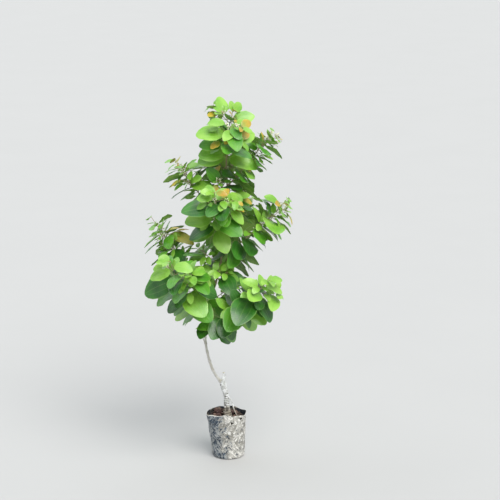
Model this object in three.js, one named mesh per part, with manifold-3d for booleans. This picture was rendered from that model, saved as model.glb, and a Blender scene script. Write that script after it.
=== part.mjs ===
// A young grafted jujube tree standing in a soil-filled nursery bag.
// Millimetres, +Z up. The origin is the middle of the bag's flat underside, and -Y is the front.

import * as THREE from 'three';
import { mergeVertices } from 'three/addons/utils/BufferGeometryUtils.js';
import Module from 'manifold-3d';

const wasm = await Module();
wasm.setup();

const { degToRad, lerp, clamp } = THREE.MathUtils;

// Bag and soil. The rim stands to the left of the foot, because the filled bag leans.
const bagFootRadius = 40;
const bagRimRadius = 48.5;
const bagHeight = 123;
const bagFilm = 1.2;
const bagRimShift = -7;
const bagSides = 20;
const footRounding = 6;
const soilHeight = 102;
const soilFlatRadius = 20;
const clearance = 0.3;

// Rootstock: flared foot, slim neck, swelling at the graft, slanted snag
const rootstockPath = [[-2, 0, 96], [-4, 0, 124], [-6.5, 0, 156], [-13, 0, 185], [-13, 0, 216]];
const rootstockRadii = [10.4, 7, 5.7, 6.9, 4.4];
const snagTip = [-8.6, 0, 214];
const snagSlope = 62;
const dryRootPath = [[-4, -2, 152], [6, -6, 138], [10.5, -8, 124], [12, -9, 98]];
const dryRootRadius = 1.3;

// Scion stem: it leaves the graft to the left, bows out, rises and straightens
const scionPath = [
  [-13, 0, 182], [-24, -1, 197], [-39, -4, 224], [-51, -7, 266], [-56, -8, 308], [-51, -6, 352],
  [-43, -3, 400], [-29, 1, 446], [-18, 4, 488], [-15, 6, 540], [-9, 6, 602], [-1, 4, 664],
  [-4, 0, 724], [-1, -2, 776],
];
const scionRadii = [3.6, 2.9, 2.4, 1.9, 1.5];

// Nodes of the scion: they follow one spiral and bear a bough and a short shoot by turns
const nodeCount = 20;
const firstNodeHeight = 334;
const lastNodeHeight = 748;
const firstAzimuth = 312;
const goldenAngle = 137.5;
const lowShootHeight = 270;

// Crown: the room that its leaves keep to
const crownBottom = 285;
const crownTop = 900;
const crownRadius = 232;
const crownAxis = [-14, 0];

// Leaves: broad, slightly egg-shaped blades with a short stalk
const leafLength = 84;
const leafSlimness = 1.36;
const leafThickness = 0.024;
const stalkLength = 9;
const stalkRadius = 0.9;
const budRadius = 2.6;

// Growth: how shoots zigzag, and how far leaves and twigs lean along them and face outward
const zigzag = 0.13;
const wobble = 0.16;
const leafLean = 0.55;
const twigLean = 0.75;
const facesOutward = 1.15;
const twigLift = 0.05;
const twigLeafShare = 0.86;

// What a leaf tries at its node (turn and share of its size), and what a shoot tries (turn)
const leafTurns = [[0, 1], [24, 1], [-24, 1], [48, 0.9], [-48, 0.9], [75, 0.75], [-75, 0.75]];
const shootTurns = [0, 28, -28, 56, -56];

// Room that is kept free: leaf to leaf, leaf to limb, twig to limb and twig to leaf
const leafRoom = 4.5;
const leafLimbRoom = 2.5;
const twigRoom = 3.5;
const twigLeafRoom = 3.2;
const massMargin = 22;
const sampleSpacing = 5;

const up = new THREE.Vector3(0, 0, 1);
const nearlyUp = new THREE.Vector3(0.12, 0.2, 1);

// Deals out the same numbers from the same seed on every run
function seededRandom(seed) {
  let state = seed * 7919 + 12345;
  return () => {
    state = (state * 48271) % 2147483647;
    return state / 2147483647;
  };
}

function vectors(list) {
  return list.map((place) => new THREE.Vector3(...place));
}

function heading(azimuth, elevation) {
  const turn = degToRad(azimuth);
  const rise = degToRad(elevation);
  return new THREE.Vector3(
    Math.cos(rise) * Math.cos(turn),
    Math.cos(rise) * Math.sin(turn),
    Math.sin(rise),
  );
}

// A limb is a smooth path with a radius that runs evenly through the list of radii
function limb(points, radii, sides, rings) {
  const curve = new THREE.CatmullRomCurve3(points, false, 'catmullrom', 0.5);
  return { curve, radii, points, sides, rings };
}

function limbRadius(piece, t) {
  const place = t * (piece.radii.length - 1);
  const before = Math.min(Math.floor(place), piece.radii.length - 2);
  return lerp(piece.radii[before], piece.radii[before + 1], place - before);
}

// The place on a limb at a given height, for limbs that only rise
function limbAtHeight(piece, height) {
  let low = 0;
  let high = 1;
  for (let i = 0; i < 30; i += 1) {
    const middle = (low + high) / 2;
    if (piece.curve.getPoint(middle).z < height) low = middle;
    else high = middle;
  }
  return low;
}

// The round profile of a limb, bent along its path. Growing it thickens it all round.
function limbGeometry(piece, growth = 0) {
  const profile = [new THREE.Vector2(0, 0)];
  for (let i = 0; i <= piece.rings; i += 1) {
    const share = i / piece.rings;
    profile.push(new THREE.Vector2(limbRadius(piece, share) + growth, share));
  }
  profile.push(new THREE.Vector2(0, 1));
  const geometry = new THREE.LatheGeometry(profile, piece.sides);
  const position = geometry.attributes.position;
  for (let i = 0; i < position.count; i += 1) {
    const t = clamp(position.getY(i), 0, 1);
    const turn = new THREE.Quaternion().setFromUnitVectors(up, piece.curve.getTangent(t));
    const spoke = new THREE.Vector3(position.getZ(i), position.getX(i), 0).applyQuaternion(turn);
    const place = piece.curve.getPoint(t).add(spoke);
    position.setXYZ(i, place.x, place.y, place.z);
  }
  return geometry;
}

// Closed solid of a geometry, for joining and cutting
function solidOf(geometry) {
  const bare = geometry.index ? geometry.toNonIndexed() : geometry.clone();
  bare.deleteAttribute('normal');
  bare.deleteAttribute('uv');
  const merged = mergeVertices(bare, 1e-4);
  return new wasm.Manifold(new wasm.Mesh({
    numProp: 3,
    vertProperties: new Float32Array(merged.attributes.position.array),
    triVerts: new Uint32Array(merged.index.array),
  }));
}

// The largest body of a solid as a geometry: scraps are dropped and sealed hollows filled
const finestDetail = 0.01;

function geometryOf(solid) {
  const bodies = solid.simplify(finestDetail).decompose();
  bodies.sort((a, b) => b.volume() - a.volume());
  const mesh = bodies[0].getMesh();
  const geometry = new THREE.BufferGeometry();
  geometry.setAttribute('position', new THREE.BufferAttribute(mesh.vertProperties, 3));
  geometry.setIndex(new THREE.BufferAttribute(mesh.triVerts, 1));
  geometry.computeVertexNormals();
  return geometry;
}

// Outline of a leaf: half its width, from 0 to 1, at a share u of its length
function leafOutline(u) {
  return Math.sin(Math.PI * clamp(u, 0, 1) ** 0.85) ** 0.72;
}

// A point of the blade: u along it, across it in mm, and above its middle surface in mm
function leafPoint(leaf, u, across, above) {
  const turn = leaf.bend * u;
  const along = leaf.length * Math.sin(turn) / leaf.bend;
  const down = leaf.length * (1 - Math.cos(turn)) / leaf.bend;
  return leaf.root.clone()
    .addScaledVector(leaf.axis, along)
    .addScaledVector(leaf.side, across)
    .addScaledVector(leaf.normal, leaf.fold * Math.abs(across) - down + above);
}

// True where a point lies closer to the blade than the room that it needs
function nearBlade(point, leaf, room) {
  const way = point.clone().sub(leaf.root);
  const reach = leaf.length * Math.sin(leaf.bend) / leaf.bend;
  const along = way.dot(leaf.axis);
  if (along < -room || along > reach + room) return false;
  const u = clamp(along / reach, 0, 1);
  const across = way.dot(leaf.side);
  if (Math.abs(across) > leafOutline(u) * leaf.width / 2 + room) return false;
  const down = leaf.length * (1 - Math.cos(leaf.bend * u)) / leaf.bend;
  const above = way.dot(leaf.normal) - leaf.fold * Math.abs(across) + down;
  return Math.abs(above) < room;
}

// A net of points over a blade, to test what it touches
function leafNet(leaf) {
  const rows = 7;
  const net = [];
  for (let row = 0; row <= rows; row += 1) {
    for (let column = -2; column <= 2; column += 1) {
      const across = leafOutline(row / rows) * leaf.width / 4 * column;
      net.push(leafPoint(leaf, row / rows, across, 0));
    }
  }
  return net;
}

// The level direction to the side of a way
function levelSide(way) {
  return new THREE.Vector3().crossVectors(way, nearlyUp).normalize();
}

// A leaf at a node of a twig: it leans forward along the twig and hangs outward
function makeLeaf(node, way, turn, size, hang, random) {
  const side = levelSide(way).applyAxisAngle(way, degToRad(turn));
  const axis = side.addScaledVector(way, leafLean).addScaledVector(up, -hang).normalize();
  const outward = new THREE.Vector3(node.x - crownAxis[0], node.y - crownAxis[1], 0).normalize();
  const facing = new THREE.Vector3(random() - 0.5, random() - 0.5, 1 + 0.4 * random());
  facing.addScaledVector(outward, facesOutward);
  const normal = facing.addScaledVector(axis, -facing.dot(axis)).normalize();
  const length = leafLength * size * (0.9 + 0.2 * random());
  return {
    node: node.clone(),
    root: node.clone().addScaledVector(axis, stalkLength * (0.5 + 0.5 * size)),
    axis,
    normal,
    side: new THREE.Vector3().crossVectors(normal, axis),
    length,
    width: length / (leafSlimness + 0.3 * (1 - size) + 0.16 * (random() - 0.5)),
    bend: degToRad(18 + 26 * random()),
    fold: 0.04 + 0.1 * random(),
    size,
  };
}

// Everything that has been given its place so far, limbs as rows of points
const limbs = [];
const leaves = [];

function addLimb(piece) {
  const samples = piece.curve.getPoints(Math.ceil(piece.curve.getLength() / sampleSpacing));
  limbs.push({ samples, radius: Math.max(...piece.radii) });
}

function insideCrown(point) {
  const share = (point.z - crownBottom) / (crownTop - crownBottom);
  if (share <= 0 || share >= 1) return false;
  const room = crownRadius * Math.sin(Math.PI * share ** 0.8) ** 0.55;
  return Math.hypot(point.x - crownAxis[0], point.y - crownAxis[1]) < room;
}

// A leaf keeps to its crown and its mass, and clear of every limb and every other leaf
function leafFits(leaf, space) {
  const net = leafNet(leaf);
  const tip = leafPoint(leaf, 1, 0, 0);
  const middle = leafPoint(leaf, 0.5, 0, 0);
  if (!insideCrown(tip) || tip.distanceTo(space.centre) > space.radius) return false;
  for (const piece of limbs) {
    for (const sample of piece.samples) {
      const ownNode = sample.distanceTo(leaf.node) < stalkLength;
      const far = sample.distanceTo(middle) > leaf.length;
      if (!ownNode && !far && nearBlade(sample, leaf, piece.radius + leafLimbRoom)) return false;
    }
  }
  for (const other of leaves) {
    if (other.middle.distanceTo(middle) > (other.length + leaf.length) * 0.62) continue;
    if (net.some((point) => nearBlade(point, other, leafRoom))) return false;
    if (other.net.some((point) => nearBlade(point, leaf, leafRoom))) return false;
  }
  leaf.net = net;
  leaf.middle = middle;
  return true;
}

// Tries a leaf at a few turns round its node and gives it the first one that is free
function placeLeaf(node, way, turn, size, hang, space, seed) {
  for (const [swing, share] of leafTurns) {
    const leaf = makeLeaf(node, way, turn + swing, size * share, hang, seededRandom(seed));
    if (leafFits(leaf, space)) {
      leaves.push(leaf);
      return leaf;
    }
  }
  return null;
}

// The axis of a shoot: even steps that zigzag from node to node and turn upward or sag
function growAxis(start, direction, steps, step, lift, random) {
  const points = [start.clone()];
  const way = direction.clone();
  for (let i = 0; i < steps; i += 1) {
    way.addScaledVector(levelSide(way), (i % 2 ? zigzag : -zigzag) + wobble * (random() - 0.5));
    way.z += lift;
    way.normalize();
    points.push(points[i].clone().addScaledVector(way, step));
  }
  return points;
}

// The size of a leaf by its place on a shoot: full in the middle, small and young at the tip
function leafSizeAt(share) {
  return share < 0.6 ? lerp(0.82, 1, share / 0.6) : lerp(1, 0.34, (share - 0.6) / 0.4);
}

// Every node of a shoot and of its twigs draws numbers of its own
function nodeSeed(plan, i, isTwig) {
  return plan.seed * 97 + i * 7 + (isTwig ? 31 : 0);
}

// Puts leaves on the nodes of one axis, and on a main stem side twigs with leaves of their own
function leafUp(shoot, points, plan, isTwig) {
  const steps = points.length - 1;
  for (let i = plan.firstLeaf; i <= steps; i += 1) {
    const way = points[i].clone().sub(points[i - 1]).normalize();
    const node = points[i].clone().addScaledVector(way, -1.5 * stalkRadius);
    const share = i / steps;
    const turn = plan.divergence === 180 ? 180 * ((i + 1) % 2) : i * plan.divergence;
    const seed = nodeSeed(plan, i, isTwig);
    const size = plan.leafSize * leafSizeAt(share) * (isTwig ? twigLeafShare : 1);
    const leaf = placeLeaf(node, way, turn, size, plan.hang * (1 - 0.5 * share), shoot.space, seed);
    if (leaf) shoot.leaves.push(leaf);
    if (i === steps && leaf) continue;
    if (seededRandom(seed + 3)() < plan.buds) shoot.buds.push(node.clone().addScaledVector(up, 2));
    if (!isTwig && plan.twigNodes.includes(i)) addTwig(shoot, node, way, i, plan, seed);
  }
}

// True where a path runs close to a limb after its first few points
function meetsLimb(samples, room) {
  return samples.slice(4).some((point) => limbs.some((other) => (
    other.samples.some((sample) => sample.distanceTo(point) < other.radius + room))));
}

// A side twig: left out where it would run into a limb or a leaf
function addTwig(shoot, node, way, i, plan, seed) {
  const random = seededRandom(seed + 11);
  const side = levelSide(way).applyAxisAngle(way, degToRad(180 * (i % 2) + 50 * (random() - 0.5)));
  const direction = side.addScaledVector(way, twigLean).normalize();
  const points = growAxis(node, direction, plan.twigSteps, plan.step * 0.9, twigLift, random);
  const twig = limb(points, [plan.radius * 0.6, plan.radius * 0.5], 3, plan.twigSteps);
  const samples = twig.curve.getPoints(plan.twigSteps * 4);
  const leavesCrown = samples.some((point) => !insideCrown(point));
  const meetsLeaf = samples.slice(3).some((point) => (
    leaves.some((leaf) => nearBlade(point, leaf, twigLeafRoom))));
  if (leavesCrown || meetsLeaf || meetsLimb(samples, twigRoom)) return;
  limbs.push({ samples, radius: twig.radii[0] });
  shoot.twigs.push(twig);
  leafUp(shoot, points, { ...plan, firstLeaf: 1, seed: plan.seed + i * 13 }, true);
}

// A shoot turns aside from its first direction where a limb is in its way
function newShoot(name, start, direction, plan, parent) {
  let stem;
  for (const turn of shootTurns) {
    const way = direction.clone().applyAxisAngle(up, degToRad(parent ? turn : 0));
    const points = growAxis(start, way, plan.steps, plan.step, plan.lift, seededRandom(plan.seed));
    stem = limb(points, [plan.radius, plan.radius * 0.55], 3, plan.steps);
    if (!meetsLimb(stem.curve.getPoints(plan.steps * 4), twigRoom)) break;
  }
  const space = {
    centre: stem.curve.getPoint(0.5),
    radius: plan.steps * plan.step * 0.5 + leafLength * plan.leafSize + massMargin,
  };
  addLimb(stem);
  return { name, stem, plan, parent, space, leaves: [], buds: [], twigs: [] };
}

const scion = limb(vectors(scionPath), scionRadii, 7, 30);
addLimb(scion);

function scionNode(height) {
  return scion.curve.getPoint(limbAtHeight(scion, height));
}

const boughs = [];
const shortShootNodes = [];
for (let i = 0; i < nodeCount; i += 1) {
  const share = i / (nodeCount - 1);
  const start = scionNode(lerp(firstNodeHeight, lastNodeHeight, share));
  const azimuth = firstAzimuth + i * goldenAngle;
  if (i % 2) {
    shortShootNodes.push({ share, start, azimuth });
    continue;
  }
  const random = seededRandom(500 + i);
  const reach = lerp(80, 40, share) * (0.92 + 0.16 * random());
  const points = growAxis(start, heading(azimuth, lerp(22, 44, share)), 3, reach / 3, 0.1, random);
  const piece = limb(points, [lerp(2.1, 1.6, share), 1.5, 1.15], 5, 4);
  boughs.push({ name: `bough_${boughs.length + 1}`, limb: piece, share });
  addLimb(piece);
}

const shoots = [];

// One leafy mass on the tip of each bough
for (const [i, bough] of boughs.entries()) {
  const way = bough.limb.curve.getTangent(1);
  const start = bough.limb.curve.getPoint(1).addScaledVector(way, clearance);
  shoots.push(newShoot(`foliage_bough_${i + 1}`, start, way, {
    steps: i < 5 ? 9 : 8,
    step: lerp(19, 15, bough.share),
    lift: 0.045,
    radius: 1.15,
    leafSize: lerp(1, 0.82, bough.share),
    hang: lerp(1.05, 0.5, bough.share),
    firstLeaf: 1,
    divergence: 180,
    twigNodes: [3, 5],
    twigSteps: 3,
    buds: lerp(0.1, 0.6, bough.share),
    seed: 40 + i,
  }, null));
}

// The lowest shoot, thin and steep, with a few small leaves near its tip
shoots.push(newShoot('foliage_low', scionNode(lowShootHeight), heading(172, 58), {
  steps: 4,
  step: 15,
  lift: 0.06,
  radius: 1.1,
  leafSize: 0.46,
  hang: 0.6,
  firstLeaf: 3,
  divergence: 180,
  twigNodes: [],
  twigSteps: 0,
  buds: 0,
  seed: 79,
}, scion));

// Short leafy shoots along the scion, between the boughs
for (const [i, { share, start, azimuth }] of shortShootNodes.entries()) {
  shoots.push(newShoot(`foliage_stem_${i + 1}`, start, heading(azimuth, lerp(22, 50, share)), {
    steps: 5,
    step: lerp(15, 13, share),
    lift: 0.06,
    radius: 1.1,
    leafSize: lerp(0.98, 0.7, share),
    hang: lerp(1.15, 0.4, share),
    firstLeaf: 1,
    divergence: 180,
    twigNodes: [3],
    twigSteps: 2,
    buds: share > 0.4 ? 0.5 : 0,
    seed: 80 + i,
  }, scion));
}

// The leader carries the young top
const leaderWay = scion.curve.getTangent(1);
const leaderStart = scion.curve.getPoint(1).addScaledVector(leaderWay, clearance);
shoots.push(newShoot('foliage_top', leaderStart, leaderWay, {
  steps: 6,
  step: 15,
  lift: 0.06,
  radius: 1.45,
  leafSize: 0.74,
  hang: 0.05,
  firstLeaf: 1,
  divergence: goldenAngle,
  twigNodes: [2, 4],
  twigSteps: 3,
  buds: 0.5,
  seed: 160,
}, null));

for (const shoot of shoots) leafUp(shoot, shoot.stem.points, shoot.plan, false);

// Materials
function finish(color, roughness) {
  return new THREE.MeshStandardMaterial({ color, roughness, metalness: 0 });
}

const filmMaterial = finish(0x6f6c62, 0.75);
const soilMaterial = finish(0x4a3a2c, 0.95);
const rootstockMaterial = finish(0x9a9284, 0.9);
const scionMaterial = finish(0x9c8664, 0.75);
const leafMaterial = finish(0x5f9a35, 0.4);

const tree = new THREE.Group();

function addMesh(name, geometry, material) {
  const mesh = new THREE.Mesh(geometry, material);
  mesh.name = name;
  tree.add(mesh);
}

// How far the film stands out or in at an angle: most at the rim, nothing at the foot
function filmWave(angle, height) {
  const lobes = 1.1 * Math.sin(2 * angle + 0.6) + 0.8 * Math.sin(5 * angle + 1.9);
  return height / bagHeight * (lobes - 0.7);
}

function bagRadius(height) {
  const share = clamp((height - footRounding) / (bagHeight - footRounding), 0, 1);
  return lerp(bagFootRadius, bagRimRadius, share ** 0.9);
}

function ring(inset, height) {
  return new THREE.Vector2(bagRadius(height) - inset, height);
}

// Bends a round profile into the leaning, uneven shape of the filled bag
function leanGeometry(profile, topWave) {
  const geometry = new THREE.LatheGeometry(profile, bagSides);
  geometry.rotateX(Math.PI / 2);
  const position = geometry.attributes.position;
  for (let i = 0; i < position.count; i += 1) {
    const x = position.getX(i);
    const y = position.getY(i);
    const z = position.getZ(i);
    const radius = Math.hypot(x, y);
    const angle = Math.atan2(y, x);
    const wave = radius > soilFlatRadius ? 1 + filmWave(angle, z) / radius : 1;
    const shift = bagRimShift * z / bagHeight;
    position.setXYZ(i, x * wave + shift, y * wave, z + topWave(angle, radius, z));
  }
  return geometry;
}

function rimWave(angle, radius, z) {
  return z > soilHeight ? 1.6 * Math.sin(3 * angle + 0.4) + 1.1 * Math.sin(7 * angle) : 0;
}

// The soil stays level round the rootstock and dips unevenly towards the film
function soilWave(angle, radius, z) {
  const dips = z === soilHeight && radius > soilFlatRadius + 1;
  return dips ? -1.2 - 1.3 * Math.sin(3 * angle + 1) : 0;
}

const wallHeights = [34, 66, soilHeight - 4];

function bagGeometry() {
  const outer = [footRounding, ...wallHeights, bagHeight].map((height) => ring(0, height));
  const inner = [bagHeight, ...wallHeights.toReversed()].map((height) => ring(bagFilm, height));
  return leanGeometry([
    new THREE.Vector2(0, 0),
    new THREE.Vector2(bagFootRadius - footRounding, 0),
    ...outer,
    ...inner,
    new THREE.Vector2(bagFootRadius - bagFilm, footRounding + bagFilm),
    new THREE.Vector2(bagFootRadius - footRounding - bagFilm, bagFilm),
    new THREE.Vector2(0, bagFilm),
  ], rimWave);
}

function soilGeometry() {
  const inset = bagFilm + clearance;
  return leanGeometry([
    new THREE.Vector2(0, inset),
    new THREE.Vector2(bagFootRadius - footRounding - inset, inset),
    new THREE.Vector2(bagFootRadius - inset, footRounding + inset),
    ...wallHeights.map((height) => ring(inset, height)),
    ring(inset + 8, soilHeight),
    new THREE.Vector2(soilFlatRadius, soilHeight),
    new THREE.Vector2(0, soilHeight),
  ], soilWave);
}

// A box far larger than the plant's foot, to cut with
function cuttingBlock() {
  return new THREE.BoxGeometry(200, 200, 60);
}

// The rootstock is cut level at the soil, and above the graft on a slant that faces the scion,
// with a dry root at its side
function rootstockSolid(trunk) {
  const dryRoot = limb(vectors(dryRootPath), [dryRootRadius, dryRootRadius], 4, 4);
  const slant = cuttingBlock().translate(0, 0, 30);
  slant.rotateY(degToRad(-snagSlope)).translate(...snagTip);
  const ground = cuttingBlock().translate(0, 0, soilHeight + clearance - 30);
  const cut = solidOf(limbGeometry(trunk)).subtract(solidOf(slant));
  return cut.add(solidOf(limbGeometry(dryRoot))).subtract(solidOf(ground));
}

// Rows of a leaf from its node to its tip: -1 lies at the node, the rest are shares of the blade
const leafRows = [-1, -1, 0.01, 0.3, 0.7, 1];

// A leaf as one thin three-sided solid: flat above, with a keel under the middle of the blade.
// Its stalk starts inside the twig.
function leafSolid(leaf) {
  const geometry = new THREE.SphereGeometry(1, 3, leafRows.length - 1, -Math.PI / 2);
  const position = geometry.attributes.position;
  for (let i = 0; i < position.count; i += 1) {
    const angle = Math.acos(clamp(position.getY(i), -1, 1));
    const row = Math.round(angle / Math.PI * (leafRows.length - 1));
    const sideways = Math.abs(position.getX(i)) > 0.05 ? Math.sign(position.getX(i)) : 0;
    const upward = position.getZ(i) > 0 ? 1 : -1;
    const place = leafRows[row] < 0
      ? stalkPoint(leaf, row, sideways, upward)
      : bladePoint(leaf, leafRows[row], sideways, upward);
    position.setXYZ(i, place.x, place.y, place.z);
  }
  return solidOf(geometry);
}

function stalkPoint(leaf, row, sideways, upward) {
  const back = row === 0 ? 0.3 * stalkRadius : 0;
  return leaf.node.clone()
    .addScaledVector(leaf.axis, -back)
    .addScaledVector(leaf.side, row * sideways * stalkRadius * 0.45)
    .addScaledVector(leaf.normal, row * upward * stalkRadius * (upward > 0 ? 0.25 : 0.5));
}

function bladePoint(leaf, u, sideways, upward) {
  const half = Math.max(leafOutline(u) * leaf.width / 2, stalkRadius * (1 - u));
  const depth = Math.max(leaf.length * leafThickness * (1 - u * u), 1.6 * stalkRadius * (1 - u));
  const flat = leaf.fold * half * (0.5 - Math.abs(sideways));
  return leafPoint(leaf, u, sideways * half, upward > 0 ? flat : flat - depth);
}

function shootSolid(shoot) {
  const solids = [shoot.stem, ...shoot.twigs].map((piece) => solidOf(limbGeometry(piece)));
  for (const leaf of shoot.leaves) solids.push(leafSolid(leaf));
  for (const bud of shoot.buds) {
    solids.push(solidOf(new THREE.OctahedronGeometry(budRadius).translate(...bud)));
  }
  const joined = wasm.Manifold.union(solids);
  return shoot.parent ? joined.subtract(solidOf(limbGeometry(shoot.parent, clearance))) : joined;
}

addMesh('nursery_bag', geometryOf(solidOf(bagGeometry())), filmMaterial);
addMesh('soil', geometryOf(solidOf(soilGeometry())), soilMaterial);

const trunk = limb(vectors(rootstockPath), rootstockRadii, 10, 9);
addMesh('rootstock', geometryOf(rootstockSolid(trunk)), rootstockMaterial);

const trunkRoom = solidOf(limbGeometry(trunk, clearance));
addMesh('scion_stem', geometryOf(solidOf(limbGeometry(scion)).subtract(trunkRoom)), scionMaterial);

const scionRoom = solidOf(limbGeometry(scion, clearance));
for (const bough of boughs) {
  const solid = solidOf(limbGeometry(bough.limb)).subtract(scionRoom);
  addMesh(bough.name, geometryOf(solid), scionMaterial);
}
for (const shoot of shoots) addMesh(shoot.name, geometryOf(shootSolid(shoot)), leafMaterial);

export default tree;
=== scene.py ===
# A young grafted jujube tree in a nursery bag: its looks, its light and the camera.
# Metres, +Z up. The origin is the middle of the bag's flat underside, and -Y is the front.
import math

import bmesh
import bpy
import numpy as np
from mathutils import Matrix, Vector, noise
from mathutils.bvhtree import BVHTree


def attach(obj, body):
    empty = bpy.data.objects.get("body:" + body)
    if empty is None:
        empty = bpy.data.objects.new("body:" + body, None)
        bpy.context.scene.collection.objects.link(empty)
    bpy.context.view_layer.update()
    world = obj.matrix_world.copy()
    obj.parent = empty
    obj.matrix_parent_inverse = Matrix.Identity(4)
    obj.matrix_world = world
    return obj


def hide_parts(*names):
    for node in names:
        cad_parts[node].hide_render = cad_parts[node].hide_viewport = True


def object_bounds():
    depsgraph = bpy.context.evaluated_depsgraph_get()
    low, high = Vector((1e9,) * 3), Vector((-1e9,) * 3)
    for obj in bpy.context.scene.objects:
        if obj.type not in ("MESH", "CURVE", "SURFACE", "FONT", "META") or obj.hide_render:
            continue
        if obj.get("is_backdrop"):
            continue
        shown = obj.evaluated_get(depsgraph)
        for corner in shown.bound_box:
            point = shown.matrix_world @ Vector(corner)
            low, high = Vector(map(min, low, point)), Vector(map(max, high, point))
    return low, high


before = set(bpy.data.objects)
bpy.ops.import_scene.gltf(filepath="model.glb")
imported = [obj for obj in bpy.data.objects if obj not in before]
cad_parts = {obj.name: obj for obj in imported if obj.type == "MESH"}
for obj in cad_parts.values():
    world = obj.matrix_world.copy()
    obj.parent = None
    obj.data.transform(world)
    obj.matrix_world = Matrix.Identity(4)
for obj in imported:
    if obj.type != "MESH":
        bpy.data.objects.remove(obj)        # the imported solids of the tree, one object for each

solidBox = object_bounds()   # before any piece is made
mm = 0.001               # the growth rule and all shapes are in millimetres until they become meshes
print("frame:", len(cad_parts), "solids")


# How the tree grows: the same rule, sizes and seeds as its solids have
growth = {
    "scionPath": [
        (-13, 0, 182), (-24, -1, 197), (-39, -4, 224), (-51, -7, 266), (-56, -8, 308), (-51, -6, 352),
        (-43, -3, 400), (-29, 1, 446), (-18, 4, 488), (-15, 6, 540), (-9, 6, 602), (-1, 4, 664),
        (-4, 0, 724), (-1, -2, 776),
    ],
    "scionRadii": (3.6, 2.9, 2.4, 1.9, 1.5),
    "nodeCount": 20, "nodeHeights": (334, 748), "firstAzimuth": 312, "goldenAngle": 137.5,
    "boughReach": (80, 40), "boughRise": (22, 44), "boughBase": (2.1, 1.6), "boughEnd": (1.5, 1.15),
    "shortRise": (22, 50), "lowShootHeight": 270, "lowShootWay": (172, 58),
    "crownHeights": (285, 900), "crownRadius": 232, "crownAxis": (-14, 0, 0), "crownCurve": (0.8, 0.55),
    "leafLength": 84, "leafSlimness": 1.36, "leafCurve": (0.85, 0.72), "leafLean": 0.55,
    "leafSizes": (0.82, 1, 0.34), "largestLeafAt": 0.6,     # first, largest and last leaf of a shoot
    "stalkLength": 9, "stalkRadius": 0.9, "zigzag": 0.13, "wobble": 0.16, "facesOutward": 1.15,
    "twigLean": 0.75, "twigLift": 0.05, "twigStep": 0.9, "twigRadii": (0.6, 0.5), "twigLeafShare": 0.86,
    "leafTurns": ((0, 1), (24, 1), (-24, 1), (48, 0.9), (-48, 0.9), (75, 0.75), (-75, 0.75)),
    "shootTurns": (0, 28, -28, 56, -56),
    "massMargin": 22, "sampleSpacing": 5,
}
shootPlan = {"steps": 5, "step": 15, "lift": 0.06, "radius": 1.1,     # where a shoot's own plan says no more
             "taper": 0.55, "firstLeaf": 1, "divergence": 180, "twigNodes": (), "twigSteps": 3, "buds": 0}
solidRoom = {"leaf": 4.5, "leafLimb": 2.5, "twig": 3.5, "twigLeaf": 3.2}    # kept free round the first growth
fineRoom = {"leaf": 2.0, "leafLimb": 1.5, "twig": 1.8, "twigLeaf": 1.5}     # round the finer twigs
tipRoom = {"leaf": 1.9, "leafLimb": 0.8}                                    # and among the young leaves
up = np.array((0.0, 0.0, 1.0))
nearlyUp = np.array((0.12, 0.2, 1.0))
grownLimbs = []
grownLeaves = []


def seededRandom(seed):             # draws the same numbers as the solids' rule does
    state = seed * 7919 + 12345

    def draw():
        nonlocal state
        state = state * 48271 % 2147483647
        return state / 2147483647
    return draw


def lerp(start, end, share):
    return start + (end - start) * share


def unit(vector):
    return vector / math.sqrt(vector @ vector)


def crossOf(a, b):
    return np.array((a[1] * b[2] - a[2] * b[1], a[2] * b[0] - a[0] * b[2], a[0] * b[1] - a[1] * b[0]))


def turnAbout(vector, axis, degrees):
    turn = math.radians(degrees)
    across = crossOf(axis, vector)
    return vector * math.cos(turn) + across * math.sin(turn) + axis * (axis @ vector) * (1 - math.cos(turn))


def heading(azimuth, elevation):
    turn, rise = math.radians(azimuth), math.radians(elevation)
    return np.array((math.cos(rise) * math.cos(turn), math.cos(rise) * math.sin(turn), math.sin(rise)))


def curvePlaces(points, shares):    # a smooth curve through the points
    last = len(points) - 1
    place = last * np.clip(shares, 0, 1)
    index = np.minimum(np.floor(place).astype(int), last - 1)
    w = (place - index)[:, None]
    padded = np.vstack((2 * points[0] - points[1], points, 2 * points[-1] - points[-2]))
    before, start, end, after = (padded[index + k] for k in range(4))
    leave, reach = (end - before) / 2, (after - start) / 2
    square = -3 * start + 3 * end - 2 * leave - reach
    return start + leave * w + square * w ** 2 + (2 * start - 2 * end + leave + reach) * w ** 3


def curveWays(points, shares):
    step = 0.0001
    ahead, behind = np.minimum(shares + step, 1), np.maximum(shares - step, 0)
    ways = curvePlaces(points, ahead) - curvePlaces(points, behind)
    return ways / np.linalg.norm(ways, axis=1)[:, None]


def newLimb(points, radii):
    return {"points": np.array(points, dtype=float), "radii": radii}


def limbSamples(limb, count):
    return curvePlaces(limb["points"], np.linspace(0, 1, count + 1))


def limbLength(limb):
    return np.linalg.norm(np.diff(limbSamples(limb, 200), axis=0), axis=1).sum()


def placeAt(limb, share):
    return curvePlaces(limb["points"], np.array([share]))[0]


def endWay(limb):
    return curveWays(limb["points"], np.array([1.0]))[0]


def shareAtHeight(limb, height):    # for limbs that only rise
    low, high = 0.0, 1.0
    for _ in range(30):
        middle = (low + high) / 2
        if placeAt(limb, middle)[2] < height:
            low = middle
        else:
            high = middle
    return low


def keepLimb(samples, radius):
    centre = samples.mean(axis=0)
    reach = np.linalg.norm(samples - centre, axis=1).max()
    grownLimbs.append({"samples": samples, "radius": radius, "centre": centre, "reach": reach})


def addLimb(limb):
    keepLimb(limbSamples(limb, math.ceil(limbLength(limb) / growth["sampleSpacing"])), max(limb["radii"]))


def bulge(share, lean, bluntness):  # up to 1 and back to 0, its top nearer the start if lean is below 1
    return np.sin(np.pi * np.clip(share, 0, 1) ** lean) ** bluntness


def leafOutline(u):                 # half the width of a blade, from 0 to 1, at a share of its length
    return bulge(u, *growth["leafCurve"])


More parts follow.
